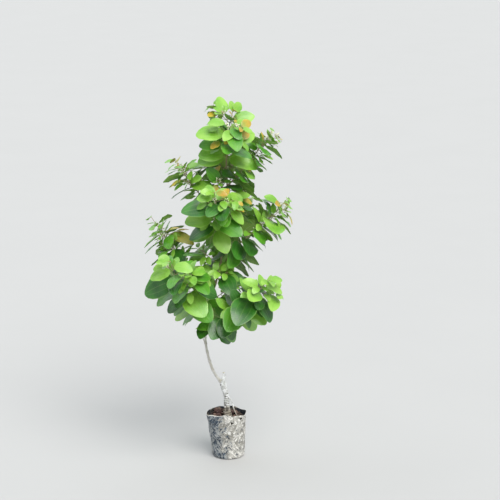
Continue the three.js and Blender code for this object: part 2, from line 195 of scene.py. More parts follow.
def leafPoints(leaf, u, across, above):
    turn = leaf["bend"] * u
    along = leaf["length"] * np.sin(turn) / leaf["bend"]
    down = leaf["length"] * (1 - np.cos(turn)) / leaf["bend"]
    rise = leaf["fold"] * np.abs(across) - down + above
    return (leaf["root"] + np.outer(along, leaf["axis"]) + np.outer(across, leaf["side"])
            + np.outer(rise, leaf["normal"]))


def nearBlade(points, leaf, room):  # for each point, whether it is closer to the blade than the room
    way = points - leaf["root"]
    along = way @ leaf["axis"]
    u = np.clip(along / leaf["reach"], 0, 1)
    across = np.abs(way @ leaf["side"])
    down = leaf["length"] * (1 - np.cos(leaf["bend"] * u)) / leaf["bend"]
    above = way @ leaf["normal"] - leaf["fold"] * across + down
    beside = across <= leafOutline(u) * leaf["width"] / 2 + room
    return (along >= -room) & (along <= leaf["reach"] + room) & beside & (np.abs(above) < room)


def bladeNet(rows, columns):        # points over a blade, as shares of its length and of its width
    u, v = np.meshgrid(np.linspace(0, 1, rows), np.linspace(-0.5, 0.5, columns), indexing="ij")
    return u.ravel(), v.ravel()


solidNet = bladeNet(8, 5)
fineNet = bladeNet(15, 7)


def levelSide(way):
    return unit(crossOf(way, nearlyUp))


def outwardAt(place):               # level, away from the middle of the crown
    return unit((place - growth["crownAxis"]) * (1, 1, 0))


def makeLeaf(node, way, turn, size, hang, random):
    side = turnAbout(levelSide(way), way, turn)
    axis = unit(side + way * growth["leafLean"] - up * hang)
    facing = np.array((random() - 0.5, random() - 0.5, 1 + 0.4 * random()))
    facing = facing + outwardAt(node) * growth["facesOutward"]
    normal = unit(facing - axis * (facing @ axis))
    length = growth["leafLength"] * size * (0.9 + 0.2 * random())
    width = length / (growth["leafSlimness"] + 0.3 * (1 - size) + 0.16 * (random() - 0.5))
    bend = math.radians(18 + 26 * random())
    return {
        "node": node, "axis": axis, "normal": normal, "side": crossOf(normal, axis),
        "root": node + axis * growth["stalkLength"] * (0.5 + 0.5 * size),
        "length": length, "width": width, "bend": bend, "fold": 0.04 + 0.1 * random(),
        "reach": length * math.sin(bend) / bend, "size": size,
    }


def insideCrown(points):
    low, high = growth["crownHeights"]
    share = (points[:, 2] - low) / (high - low)
    room = growth["crownRadius"] * bulge(share, *growth["crownCurve"])
    away = np.hypot(points[:, 0] - growth["crownAxis"][0], points[:, 1] - growth["crownAxis"][1])
    return (share > 0) & (share < 1) & (away < room)


def leafFits(leaf, space, room):
    u, v = solidNet if room is solidRoom else fineNet
    net = leafPoints(leaf, u, leafOutline(u) * leaf["width"] * v, 0 * u)
    tip, middle = leafPoints(leaf, np.array((1, 0.5)), np.zeros(2), np.zeros(2))
    if not insideCrown(tip[None])[0] or np.linalg.norm(tip - space["centre"]) > space["radius"]:
        return False
    if "low" in space and ((net < space["low"]) | (net > space["high"])).any():
        return False
    for limb in grownLimbs:
        if np.linalg.norm(limb["centre"] - middle) > limb["reach"] + leaf["length"]:
            continue
        away = np.linalg.norm(limb["samples"] - middle, axis=1) <= leaf["length"]
        away &= np.linalg.norm(limb["samples"] - leaf["node"], axis=1) >= growth["stalkLength"]
        if nearBlade(limb["samples"][away], leaf, limb["radius"] + room["leafLimb"]).any():
            return False
    for other in grownLeaves:
        if np.linalg.norm(other["middle"] - middle) > (other["length"] + leaf["length"]) * 0.62:
            continue
        if nearBlade(net, other, room["leaf"]).any() or nearBlade(other["net"], leaf, room["leaf"]).any():
            return False
    leaf.update(net=net, middle=middle)
    return True


def placeLeaf(node, way, turn, size, hang, space, seed, room, **notes):
    for swing, share in growth["leafTurns"]:
        leaf = makeLeaf(node, way, turn + swing, size * share, hang, seededRandom(seed))
        if leafFits(leaf, space, room):
            leaf.update(notes, seed=seed)
            grownLeaves.append(leaf)
            return True
    return False


def growAxis(start, direction, steps, step, lift, random):
    points, way = [np.array(start, dtype=float)], np.array(direction, dtype=float)
    for i in range(steps):
        lean = growth["zigzag"] if i % 2 else -growth["zigzag"]
        way = way + levelSide(way) * (lean + growth["wobble"] * (random() - 0.5))
        way[2] += lift
        way = unit(way)
        points.append(points[i] + way * step)
    return points


def leafSizeAt(share):
    (first, largest, last), peak = growth["leafSizes"], growth["largestLeafAt"]
    if share < peak:
        return lerp(first, largest, share / peak)
    return lerp(largest, last, (share - peak) / (1 - peak))


def leafUp(shoot, points, plan, isTwig, room):
    steps = len(points) - 1
    for i in range(plan["firstLeaf"], steps + 1):
        way = unit(points[i] - points[i - 1])
        node = points[i] - way * 1.5 * growth["stalkRadius"]
        share = i / steps
        turn = 180 * ((i + 1) % 2) if plan["divergence"] == 180 else i * plan["divergence"]
        seed = plan["seed"] * 97 + i * 7 + (31 if isTwig else 0)
        size = plan["leafSize"] * leafSizeAt(share) * (growth["twigLeafShare"] if isTwig else 1)
        hang = plan["hang"] * (1 - 0.5 * share)
        placed = placeLeaf(node, way, turn, size, hang, shoot["space"], seed, room, shoot=shoot, share=share)
        shoot["nodes"].append((node, way, i, isTwig))
        if i == steps and placed:
            continue
        if seededRandom(seed + 3)() < plan["buds"]:
            shoot["buds"].append(node + up * 2)
        if not isTwig and i in plan["twigNodes"]:
            addTwig(shoot, node, way, i, plan, seed, room)


def meetsLimb(samples, room):       # but for its start, where it leaves another limb
    for limb in grownLimbs:
        gaps = np.linalg.norm(samples[4:, None] - limb["samples"][None], axis=2)
        if (gaps < limb["radius"] + room).any():
            return True
    return False


def addTwig(shoot, node, way, i, plan, seed, room):
    random = seededRandom(seed + 11)
    side = turnAbout(levelSide(way), way, 180 * (i % 2) + 50 * (random() - 0.5))
    direction = unit(side + way * growth["twigLean"])
    step = plan["step"] * growth["twigStep"]
    points = growAxis(node, direction, plan["twigSteps"], step, growth["twigLift"], random)
    twig = newLimb(points, [plan["radius"] * share for share in growth["twigRadii"]])
    samples = limbSamples(twig, plan["twigSteps"] * 4)
    meetsLeaf = any(nearBlade(samples[3:], leaf, room["twigLeaf"]).any() for leaf in grownLeaves)
    if not insideCrown(samples).all() or meetsLeaf or meetsLimb(samples, room["twig"]):
        return
    keepLimb(samples, twig["radii"][0])
    shoot["twigs"].append(twig)
    leafUp(shoot, points, {**plan, "firstLeaf": 1, "seed": plan["seed"] + i * 13}, True, room)


def newShoot(start, direction, onScion, **ownPlan):
    plan = {**shootPlan, **ownPlan}
    for turn in growth["shootTurns"]:
        way = turnAbout(direction, up, turn if onScion else 0)
        points = growAxis(start, way, plan["steps"], plan["step"], plan["lift"], seededRandom(plan["seed"]))
        stem = newLimb(points, (plan["radius"], plan["radius"] * plan["taper"]))
        if not meetsLimb(limbSamples(stem, plan["steps"] * 4), solidRoom["twig"]):
            break
    radius = plan["steps"] * plan["step"] * 0.5 + growth["leafLength"] * plan["leafSize"]
    addLimb(stem)
    return {"stem": stem, "plan": plan, "buds": [], "twigs": [], "nodes": [],
            "space": {"centre": placeAt(stem, 0.5), "radius": radius + growth["massMargin"]}}


def growBoughs(scion):
    boughs, shortNodes = [], []
    for i in range(growth["nodeCount"]):
        share = i / (growth["nodeCount"] - 1)
        start = placeAt(scion, shareAtHeight(scion, lerp(*growth["nodeHeights"], share)))
        azimuth = growth["firstAzimuth"] + i * growth["goldenAngle"]
        if i % 2:
            shortNodes.append((share, start, azimuth))
            continue
        random = seededRandom(500 + i)
        reach = lerp(*growth["boughReach"], share) * (0.92 + 0.16 * random())
        way = heading(azimuth, lerp(*growth["boughRise"], share))
        points = growAxis(start, way, 3, reach / 3, 0.1, random)
        bough = newLimb(points, (lerp(*growth["boughBase"], share), *growth["boughEnd"]))
        boughs.append({**bough, "share": share})
        addLimb(bough)
    return boughs, shortNodes


def growShoots(scion, boughs, shortNodes):
    shoots = []
    for i, bough in enumerate(boughs):
        share, way = bough["share"], endWay(bough)
        shoots.append(newShoot(
            bough["points"][-1] + way * 0.3, way, False, steps=9 if i < 5 else 8, step=lerp(19, 15, share),
            lift=0.045, radius=1.15, leafSize=lerp(1, 0.82, share), hang=lerp(1.05, 0.5, share),
            twigNodes=(3, 5), buds=lerp(0.1, 0.6, share), seed=40 + i))
    lowStart = placeAt(scion, shareAtHeight(scion, growth["lowShootHeight"]))
    shoots.append(newShoot(
        lowStart, heading(*growth["lowShootWay"]), True, steps=4, leafSize=0.46, hang=0.6, firstLeaf=3,
        seed=79))
    for i, (share, start, azimuth) in enumerate(shortNodes):
        shoots.append(newShoot(
            start, heading(azimuth, lerp(*growth["shortRise"], share)), True, step=lerp(15, 13, share),
            leafSize=lerp(0.98, 0.7, share), hang=lerp(1.15, 0.4, share), twigNodes=(3,), twigSteps=2,
            buds=0.5 if share > 0.4 else 0, seed=80 + i))
    way = endWay(scion)
    shoots.append(newShoot(
        scion["points"][-1] + way * 0.3, way, False, steps=6, radius=1.45, leafSize=0.74, hang=0.05,
        divergence=growth["goldenAngle"], twigNodes=(2, 4), buds=0.5, seed=160))
    for shoot in shoots:
        leafUp(shoot, shoot["stem"]["points"], shoot["plan"], False, solidRoom)
    return shoots


# What the solids leave to the looks: finer twigs, leaves along the boughs and young leaves at the tips
fineGrowth = {"leafSize": 0.74, "radius": 0.8, "twigSteps": 2, "step": 0.8, "buds": 0.2, "lastShare": 0.8,
              "boughLeafSize": 0.8, "boughLeafReach": 150, "tipLeafSize": 0.4, "tipTurns": (70, 190, 310),
              "tipHang": -0.2, "boxMargin": 3}


def limitReach(shoots):             # nothing finer grows past the solid leaves of its own shoot
    for shoot in shoots:
        own = [leaf["net"] for leaf in grownLeaves if leaf["shoot"] is shoot]
        places = np.vstack(own + [shoot["stem"]["points"]])
        shoot["space"]["low"] = places.min(axis=0) - fineGrowth["boxMargin"]
        shoot["space"]["high"] = places.max(axis=0) + fineGrowth["boxMargin"]


def growFiner(shoots):
    for shoot in shoots:
        own = shoot["plan"]
        plan = {**own, "radius": fineGrowth["radius"], "twigSteps": fineGrowth["twigSteps"],
                "leafSize": own["leafSize"] * fineGrowth["leafSize"],
                "step": own["step"] * fineGrowth["step"], "buds": min(own["buds"], fineGrowth["buds"])}
        for node, way, i, isTwig in list(shoot["nodes"]):
            if i > fineGrowth["lastShare"] * own["steps"]:
                continue
            plan["seed"] = own["seed"] + 200 + i * 3 + (50 if isTwig else 0)
            addTwig(shoot, node, way, i + 1, plan, plan["seed"] * 5, fineRoom)


def growOnBoughs(boughs, shoots):
    for bough, shoot in zip(boughs, shoots):
        points = bough["points"]
        space = {"centre": points[2], "radius": fineGrowth["boughLeafReach"]}
        size, hang = fineGrowth["boughLeafSize"], shoot["plan"]["hang"]
        for i in range(1, len(points)):
            way = unit(points[i] - points[i - 1])
            for turn in (180 * (i % 2), 180 * ((i + 1) % 2)):
                seed = shoot["plan"]["seed"] * 31 + i * 5 + turn
                placeLeaf(points[i], way, turn, size, hang, space, seed, fineRoom, shoot=shoot, share=0.2)


def growTips(shoots):
    for shoot in shoots:
        for number, limb in enumerate([shoot["stem"]] + shoot["twigs"]):
            points, hang = limb["points"], fineGrowth["tipHang"]
            way = unit(points[-1] - points[-2])
            for k, turn in enumerate(fineGrowth["tipTurns"]):
                seed = shoot["plan"]["seed"] * 53 + number * 11 + k
                size = fineGrowth["tipLeafSize"] * (0.8 + 0.2 * k)
                node = points[-1] - way * (1.5 + 3 * k)
                placeLeaf(node, way, turn, size, hang, shoot["space"], seed, tipRoom, shoot=shoot, share=1.0)


scion = newLimb(growth["scionPath"], growth["scionRadii"])
addLimb(scion)
boughs, shortNodes = growBoughs(scion)
shoots = growShoots(scion, boughs, shortNodes)
solidLeaves = len(grownLeaves)
limitReach(shoots)
growFiner(shoots)
growOnBoughs(boughs, shoots)
growTips(shoots)
twigs = [twig for shoot in shoots for twig in shoot["twigs"]]
axils = [axil for shoot in shoots for axil in shoot["buds"]]
print("grown:", solidLeaves, "leaves and", len(grownLeaves) - solidLeaves, "finer ones,",
      len(twigs), "twigs,", len(axils), "cymes")


# Finishes
class Pattern:                      # what a node gives; patterns add, subtract and multiply as numbers do
    def __init__(self, socket):
        self.socket = socket
        self.tree = socket.id_data

    def __add__(self, other):
        return mathOf("ADD", self, other)

    def __sub__(self, other):
        return mathOf("SUBTRACT", self, other)

    def __rsub__(self, number):
        return mathOf("SUBTRACT", number, self)

    def __mul__(self, other):
        return mathOf("MULTIPLY", self, other)

    def __abs__(self):
        return mathOf("ABSOLUTE", self)


def addNode(tree, kind, output, inputs, **settings):    # inputs by name or number: patterns, or plain values
    node = tree.nodes.new("ShaderNode" + kind)
    for key, value in settings.items():
        setattr(node, key, value)
    for key, value in inputs.items():
        if isinstance(value, Pattern):
            tree.links.new(value.socket, node.inputs[key])
        else:
            node.inputs[key].default_value = value
    return Pattern(node.outputs[output])


def objectPlace(finish, stretch=(1, 1, 1)):
    place = addNode(finish.node_tree, "TexCoord", "Object", {})
    return addNode(place.tree, "Mapping", "Vector", {"Vector": place, "Scale": stretch})


def axisOf(place, axis):            # how far along X, Y or Z a place is
    return addNode(place.tree, "SeparateXYZ", axis, {"Vector": place})


def attributeOf(finish, name):
    return addNode(finish.node_tree, "Attribute", "Fac", {}, attribute_name=name)


def noiseOf(place, scale, detail=3.0, roughness=0.55, distortion=0.0):
    return addNode(place.tree, "TexNoise", "Fac", {"Vector": place, "Scale": scale, "Detail": detail,
                                                   "Roughness": roughness, "Distortion": distortion})


def cellsOf(place, scale, feature="F1"):
    return addNode(place.tree, "TexVoronoi", "Distance", {"Vector": place, "Scale": scale}, feature=feature)


def mathOf(operation, first, second=0.0):
    tree = (first if isinstance(first, Pattern) else second).tree
    return addNode(tree, "Math", 0, {0: first, 1: second}, operation=operation)


def stepOf(value, low, high, start=0.0, end=1.0):   # from start to end while the value goes low to high
    inputs = {"Value": value, "From Min": low, "From Max": high, "To Min": start, "To Max": end}
    return addNode(value.tree, "MapRange", "Result", inputs, interpolation_type="SMOOTHSTEP")


def tone(color):                    # makes red, green and blue as seen, from 0 to 255, linear
    if isinstance(color, Pattern):
        return color
    return (*[c / 255 / 12.92 if c < 10.3 else ((c / 255 + 0.055) / 1.055) ** 2.4 for c in color], 1.0)


def blendOf(share, first, second):
    return addNode(share.tree, "Mix", 2, {0: share, 6: tone(first), 7: tone(second)}, data_type="RGBA")


def layOver(color, tint, pattern, low, high, most=1):   # the tint, where the pattern goes from low to high
    return blendOf(stepOf(pattern, low, high, 0, most), color, tint)


def newFinish(name, **sockets):     # sockets that are the same all over
    finish = bpy.data.materials.new(name)
    finish.use_nodes = True
    for socket, value in sockets.items():
        finish.node_tree.nodes["Principled BSDF"].inputs[socket.replace("_", " ")].default_value = value
    return finish


def dress(finish, color, roughness=None, height=None, depth=0.0):
    tree = color.tree
    bump = height and addNode(tree, "Bump", "Normal", {"Height": height, "Strength": 0.8, "Distance": depth})
    for socket, pattern in (("Base Color", color), ("Roughness", roughness), ("Normal", bump)):
        if pattern:
            tree.links.new(pattern.socket, tree.nodes["Principled BSDF"].inputs[socket])
    return finish


# Making pieces
def addObject(name, data):
    added = bpy.data.objects.new(name, data)
    bpy.context.scene.collection.objects.link(added)
    return added


def linkPiece(name, mesh, finishes, nodes):
    piece = addObject(name, mesh)
    for finish in finishes:
        mesh.materials.append(finish)
    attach(piece, "root")
    if nodes:
        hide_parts(*nodes)
    return piece


def meshFromBmesh(name, bm):
    mesh = bpy.data.meshes.new(name)
    bm.to_mesh(mesh)
    bm.free()
    mesh.shade_smooth()
    return mesh


def meshFromCopies(name, copies, faces, faceFinish=None, places=None):    # joined copies of one small shape
    starts = range(0, len(copies) * len(copies[0]), len(copies[0]))
    allFaces = [[start + i for i in face] for start in starts for face in faces]
    mesh = bpy.data.meshes.new(name)
    mesh.from_pydata((np.concatenate(copies) * mm).tolist(), [], allFaces)
    if faceFinish is not None:
        mesh.polygons.foreach_set("material_index", np.tile(faceFinish, len(copies)))
    if places is not None:
        mesh.uv_layers.new(name="blade").data.foreach_set("uv", np.tile(places.ravel(), len(copies)))
    mesh.shade_smooth()
    mesh.validate()
    return mesh


def linkCopies(name, copies, faces, finish, nodes):
    return linkPiece(name, meshFromCopies(name, copies, faces), [finish], nodes)


def shapeArrays(bm):                # the vertices and faces of a small shape, to be copied
    bm.verts.index_update()
    vertices = np.array([vert.co[:] for vert in bm.verts])
    faces = [[vert.index for vert in face.verts] for face in bm.faces]
    bm.free()
    return vertices, faces


def tubeShape(sides, rings):        # a limb of radius 1 and length 1, closed at both ends
    bm = bmesh.new()
    bmesh.ops.create_cone(bm, cap_ends=True, segments=sides, radius1=1, radius2=1, depth=1,
                          matrix=Matrix.Translation((0, 0, 0.5)))
    upright = [edge for edge in bm.edges if abs(edge.verts[0].co.z - edge.verts[1].co.z) > 0.5]
    bmesh.ops.subdivide_edges(bm, edges=upright, cuts=rings - 1)
    return shapeArrays(bm)


def bendTube(tube, points, radius):     # along the points; radius may be a list, one for each vertex
    tx, ty, tz = curveWays(points, tube[:, 2]).T
    x, y = tube[:, 0] * radius, tube[:, 1] * radius
    dip = -(tx * x + ty * y)
    spokes = np.stack((x + tx * dip / (1 + tz), y + ty * dip / (1 + tz), dip), axis=1)
    return curvePlaces(points, tube[:, 2]) + spokes


def radiusAlong(limb, share):
    return np.interp(share, np.linspace(0, 1, len(limb["radii"])), limb["radii"])


def lathe(profile, steps):          # spins a line of radii and heights round the upright axis
    bm = bmesh.new()
    line = [bm.verts.new((radius, 0, height)) for radius, height in profile]
    edges = [bm.edges.new(pair) for pair in zip(line, line[1:])]
    bmesh.ops.spin(bm, geom=line + edges, cent=(0, 0, 0), axis=(0, 0, 1), angle=2 * math.pi, steps=steps,
                   use_merge=True)
    bmesh.ops.remove_doubles(bm, verts=bm.verts, dist=0.001)
    bmesh.ops.recalc_face_normals(bm, faces=bm.faces)
    return bm


def smooth(value, low, high):
    share = min(max((value - low) / (high - low), 0), 1)
    return share * share * (3 - 2 * share)


def around(angle, radius, height):
    return Vector((math.cos(angle) * radius, math.sin(angle) * radius, height))


# Nursery bag: thin black film caked with dried mud, crumpled and gathered, with punched holes.
# Here and below, sizes are in millimetres, angles in degrees, and colours as seen, from 0 to 255.
bag = {
    "footRadius": 40, "rimRadius": 48.5, "height": 123, "footRounding": 6, "rimShift": -7,
    "thickness": 0.5, "segments": 200, "wallRows": 70, "soilHeight": 102,
    "creaseTwist": 0.021, "creaseWidth": 8.5, "creaseLength": 26, "creaseDepth": 1.5, "lipWave": 2.6,
    "lipDrop": 6, "sideDrop": 8, "backDrop": 5,     # how far the lip sags all round, at the sides and behind
    "wallWaves": ((1.1, 2, 0.6), (0.8, 5, 1.9)),    # size, number and turn
    "lipWaves": ((1.6, 3, 0.4), (1.1, 7, 0)), "waveInset": 0.7,
    "holes": [(-38, 114, 4.2), (-72, 102, 3.8), (-155, 110, 2.6), (95, 96, 2.8), (45, 97, 2.7),
              (150, 56, 2.8), (96, 52, 2.8), (30, 58, 2.8)],    # angle, height, radius
    "wornSide": -148,                               # the angle at which most mud has come off
    "mud": ((146, 144, 136), (198, 196, 189)), "palestMud": (236, 235, 230), "bluishMud": (160, 170, 178),
    "creases": (98, 102, 106), "blackFilm": ((15, 27, 40), (58, 78, 100)), "dustyFilm": (130, 142, 152),
    "scratches": (226, 228, 226), "tornFilm": (236, 234, 226), "inside": ((38, 42, 50), (128, 122, 110)),
}


def bagRadius(height):
    span = bag["height"] - bag["footRounding"]
    share = min(max((height - bag["footRounding"]) / span, 0), 1)
    return lerp(bag["footRadius"], bag["rimRadius"], share ** 0.9)


def wavesAt(waves, angle):
    return sum(size * math.sin(number * angle + turn) for size, number, turn in waves)


def filmWave(angle, height):
    return height / bag["height"] * (wavesAt(bag["wallWaves"], angle) - bag["waveInset"])


def ridge(angle, height, radius, twist, width, length):     # 1 on the ridges of slanted creases, 0 between
    place = around(angle + twist * height, radius / width, height / length)
    return 1 - min(abs(noise.noise(place)) * 4.2, 1)


def crumple(angle, height, radius):     # how far the film stands out or in, and how bare of mud it is
    twist, width, length = bag["creaseTwist"], bag["creaseWidth"], bag["creaseLength"]
    one = ridge(angle, height, radius, twist, width, length)
    other = ridge(angle + 2, height, radius, -0.8 * twist, width * 1.3, length)
    fine = ridge(angle + 4, height, radius, 1.4 * twist, width * 0.45, length * 0.4)
    place = around(angle, radius, height)
    push = bag["creaseDepth"] * (0.55 * one ** 2 + 0.5 * other ** 2 + 0.22 * fine - 0.55)
    push += 1.3 * noise.noise(place / 26)
    away = abs(math.remainder(angle - math.radians(bag["wornSide"]), 2 * math.pi))
    patchy = noise.fractal(place / 19, 0.8, 2, 4) * 0.8
    # mud has come off at the upper corner of the worn side, down that side and at its foot
    corner = 0.66 * smooth(1.05 - away + patchy, 0, 0.6) * smooth(height + 26 * patchy, 80, 102)
    flank = 0.4 * smooth(1.4 - away + patchy, 0, 1.0)
    foot = 0.08 * smooth(30 - height + 30 * patchy, 0, 20) * smooth(1.2 - away, 0, 0.5)
    return push, max(corner, flank + foot, 0.1 * one ** 3)


def cutHoles(bm, torn):             # opens each hole, and pulls its ragged edge into a round
    for n, (degrees, height, size) in enumerate(bag["holes"]):
        angle = math.radians(degrees)
        centre = around(angle, bagRadius(height), height)
        inside = [face for face in bm.faces if (face.calc_center_median() - centre).length < size]
        edge = {vert for face in inside for vert in face.verts}
        bmesh.ops.delete(bm, geom=inside, context="FACES")
        for vert in edge:
            if vert.is_valid and vert.is_boundary:
                away = vert.co - centre
                turn = math.atan2(away.z, away.dot(Vector((-math.sin(angle), math.cos(angle), 0))))
                ragged = size * (1 + 0.22 * math.sin(3 * turn + n) + 0.1 * math.sin(7 * turn))
                vert.co = centre + away.normalized() * ragged
        for vert in bm.verts:
            gap = (vert.co - centre).length / (size * 1.9)
            if gap < 1:
                vert[torn] = 1 - gap


def bagProfile():                   # the flat foot, its rounded edge and the wall
    profile = [(radius, 0.0) for radius in np.linspace(0, bag["footRadius"] - bag["footRounding"], 9)]
    for turn in np.linspace(0, math.pi / 2, 6)[1:]:
        profile.append((bag["footRadius"] - bag["footRounding"] * (1 - math.sin(turn)),
                        bag["footRounding"] * (1 - math.cos(turn))))
    wall = np.linspace(bag["footRounding"], bag["height"], bag["wallRows"])[1:]
    return profile + [(bagRadius(height), height) for height in wall]


def makeBag():
    bm = lathe(bagProfile(), bag["segments"])
    bare = bm.verts.layers.float.new("bareFilm")
    torn = bm.verts.layers.float.new("tornEdge")
    cutHoles(bm, torn)
    for vert in bm.verts:
        x, y, z = vert.co
        radius, angle = math.hypot(x, y), math.atan2(y, x)
        if z > 0.01:
            push, vert[bare] = crumple(angle, z, radius)
            push *= smooth(z, 0, 14)
            free = smooth(z, bag["soilHeight"] - 4, bag["height"])
            behind = smooth(math.sin(angle), 0.1, 0.8)
            wave = noise.noise(around(angle, 2.6, z / 22))
            push += free * bag["lipWave"] * (wave * 2 - 0.2)
            vert[torn] = max(vert[torn], 0.6 * smooth(z + 3 * wave, bag["height"] - 3, bag["height"]))
            scale = 1 + (filmWave(angle, z) + push) / radius
            rise = free * (wavesAt(bag["lipWaves"], angle) + 4 * noise.noise(around(angle, 2.2, 5)))
            sag = bag["lipDrop"] + bag["sideDrop"] * math.cos(angle) ** 2 + bag["backDrop"] * behind
            rise -= sag * smooth(z, 64, bag["height"])
            x, y, z = x * scale, y * scale, z + rise
        vert.co = Vector((x + bag["rimShift"] * z / bag["height"], y, z)) * mm
    mesh = meshFromBmesh("film_bag", bm)
    piece = linkPiece("film_bag", mesh, [filmFinish(), innerFilmFinish()], ["nursery_bag"])
    wall = piece.modifiers.new("film", "SOLIDIFY")
    wall.thickness = bag["thickness"] * mm
    wall.offset = -1
    wall.use_rim = True
    wall.material_offset = 1        # the inside is cleaner


def slantedPlace(finish, twist):    # wound round the bag, so that a pattern runs up it on a slant
    place = addNode(finish.node_tree, "TexCoord", "Object", {})
    turns = {"Vector": place, "Angle": axisOf(place, "Z") * twist}
    wound = addNode(place.tree, "VectorRotate", "Vector", turns, rotation_type="Z_AXIS")
    return addNode(place.tree, "Mapping", "Vector", {"Vector": wound, "Scale": (1, 1, 0.45)})


def creaseLines(place, scale):      # straight creases that come and go
    edges = cellsOf(place, scale, "DISTANCE_TO_EDGE")
    return stepOf(edges, 0.07, 0.0) * stepOf(noiseOf(place, scale * 0.9, 2), 0.5, 0.62)


def filmFinish():                   # mud worn off in ragged patches; fine crease lines darker grey in the mud and pale on bare film
    finish = newFinish("muddy film", Specular_IOR_Level=0.4)
    place, rising, falling = objectPlace(finish), slantedPlace(finish, 19), slantedPlace(finish, -14)
    dust, grain = noiseOf(place, 40, 5, 0.65), noiseOf(place, 620, 5, 0.7)
    bare, torn = attributeOf(finish, "bareFilm"), attributeOf(finish, "tornEdge")
    choice = stepOf(noiseOf(place, 62, 2), 0.42, 0.58)
    wear = noiseOf(rising, 165, 1, 0.5, 0.4) * choice + noiseOf(falling, 190, 1, 0.5, 0.4) * (1.0 - choice)
    wear = wear + noiseOf(place, 300, 8, 0.72) * 0.9 + bare * 0.4
    worn = stepOf(wear, 1.105, 1.145)
    creases = mathOf("MAXIMUM", creaseLines(rising, 120), creaseLines(falling, 170))
    creases = creases * stepOf(grain, 0.4, 0.56)
    mud = layOver(*bag["mud"], dust, 0.38, 0.64)
    mud = layOver(mud, bag["palestMud"], wear, 0.93, 0.8, 0.9)
    mud = layOver(mud, bag["bluishMud"], bare, 0.1, 0.6, 0.7)
    # darker grey along the crease lines in the mud
    mud = blendOf(creases * 0.6, mud, bag["creases"])
    film = layOver(*bag["blackFilm"], grain, 0.42, 0.62)
    film = layOver(film, bag["dustyFilm"], noiseOf(place, 110, 4, 0.6), 0.48, 0.68, 0.7)
    color = blendOf(worn, mud, film)
    color = blendOf(creases * stepOf(bare, 0.15, 0.5) * 0.6, color, bag["scratches"])
    color = layOver(color, bag["tornFilm"], torn, 0.3, 0.5)
    return dress(finish, color, stepOf(worn, 0.2, 0.9, 0.92, 0.42), grain * 0.4 - (worn + creases), 0.0007)


def innerFilmFinish():
    finish = newFinish("inner film", Specular_IOR_Level=0.4)
    place = objectPlace(finish)
    grain = noiseOf(place, 600, 3, 0.6)
    dusty = stepOf(noiseOf(place, 70, 5, 0.6) + grain * 0.2, 0.56, 0.72)
    return dress(finish, blendOf(dusty, *bag["inside"]), stepOf(dusty, 0, 1, 0.42, 0.9), grain, 0.0005)


makeBag()
print("bag: crumpled film with", len(bag["holes"]), "holes")


# Soil with crumbs
soil = {
    "inset": 3.2, "bottom": 1.6, "top": 101.5, "segments": 96, "rows": 26, "bump": 2.2, "grit": 0.9,
    "crumbs": 520, "crumbSize": (0.7, 2.6), "stemPlace": -2.5, "stemRoom": 10,
    "earth": ((34, 28, 25), (80, 68, 58)), "paleGrit": (150, 132, 110),
}
soilRadius = bagRadius(soil["top"]) - soil["inset"]


def soilTop(x, y):
    bump = soil["bump"] * noise.noise(Vector((x, y, 3)) / 11)
    return soil["top"] + bump + soil["grit"] * noise.noise(Vector((x, y, 9)) / 3.5)


def makeSoil():
    inner = bag["footRadius"] - bag["footRounding"]
    profile = [(0, soil["bottom"]), (inner - 2, soil["bottom"]), (bag["footRadius"] - soil["inset"], 8)]
    profile += [(bagRadius(height) - soil["inset"], height) for height in (30, 60, 85, soil["top"] - 3)]
    profile += [(radius, soil["top"]) for radius in np.linspace(soilRadius - 1.5, 0, soil["rows"])]
    bm = lathe(profile, soil["segments"])
    for vert in bm.verts:
        x, y, z = vert.co
        scale = 1 + filmWave(math.atan2(y, x), z) / max(math.hypot(x, y), 20)
        x, y = x * scale + bag["rimShift"] * z / bag["height"], y * scale
        vert.co = Vector((x, y, soilTop(x, y) if z >= soil["top"] else z)) * mm
    linkPiece("potting_soil", meshFromBmesh("potting_soil", bm), [crumblySoil], ["soil"])


def lumpShape():
    bm = bmesh.new()
    bmesh.ops.create_icosphere(bm, subdivisions=1, radius=1)
    for vert in bm.verts:
        vert.co *= 0.8 + 0.35 * noise.noise(vert.co * 1.7 + Vector((4, 4, 4)))
    return shapeArrays(bm)


def onSoil(random, reach=0.93):     # a random place on the soil, clear of the stem
    while True:
        turn, away = 2 * math.pi * random(), math.sqrt(random()) * reach * (soilRadius - 2)
        x = math.cos(turn) * away + bag["rimShift"] * soil["top"] / bag["height"]
        y = math.sin(turn) * away
        if math.hypot(x - soil["stemPlace"], y) > soil["stemRoom"]:
            return x, y


def makeCrumbs():
    random = seededRandom(11)
    shape, faces = lumpShape()
    copies = []
    for _ in range(soil["crumbs"]):
        x, y = onSoil(random)
        size = lerp(*soil["crumbSize"], random() ** 2.5)
        turn = Matrix.Rotation(6.3 * random(), 3, "Z") @ Matrix.Rotation(6.3 * random(), 3, "X")
        squash = np.array((1, 0.8, 0.65)) * size
        copies.append((shape * squash) @ np.array(turn).T + (x, y, soilTop(x, y) + size * 0.25))
    linkCopies("soil_crumbs", copies, faces, crumblySoil, []).data.shade_flat()


def soilFinish():
    finish = newFinish("crumbly soil", Roughness=0.95)
    place = objectPlace(finish)
    grit = noiseOf(place, 900, 3)
    color = layOver(*soil["earth"], noiseOf(place, 140, 5), 0.38, 0.66)
    return dress(finish, layOver(color, soil["paleGrit"], grit, 0.62, 0.72), None, grit, 0.0006)


crumblySoil = soilFinish()
makeSoil()
makeCrumbs()
print("soil: filled,", soil["crumbs"], "crumbs")


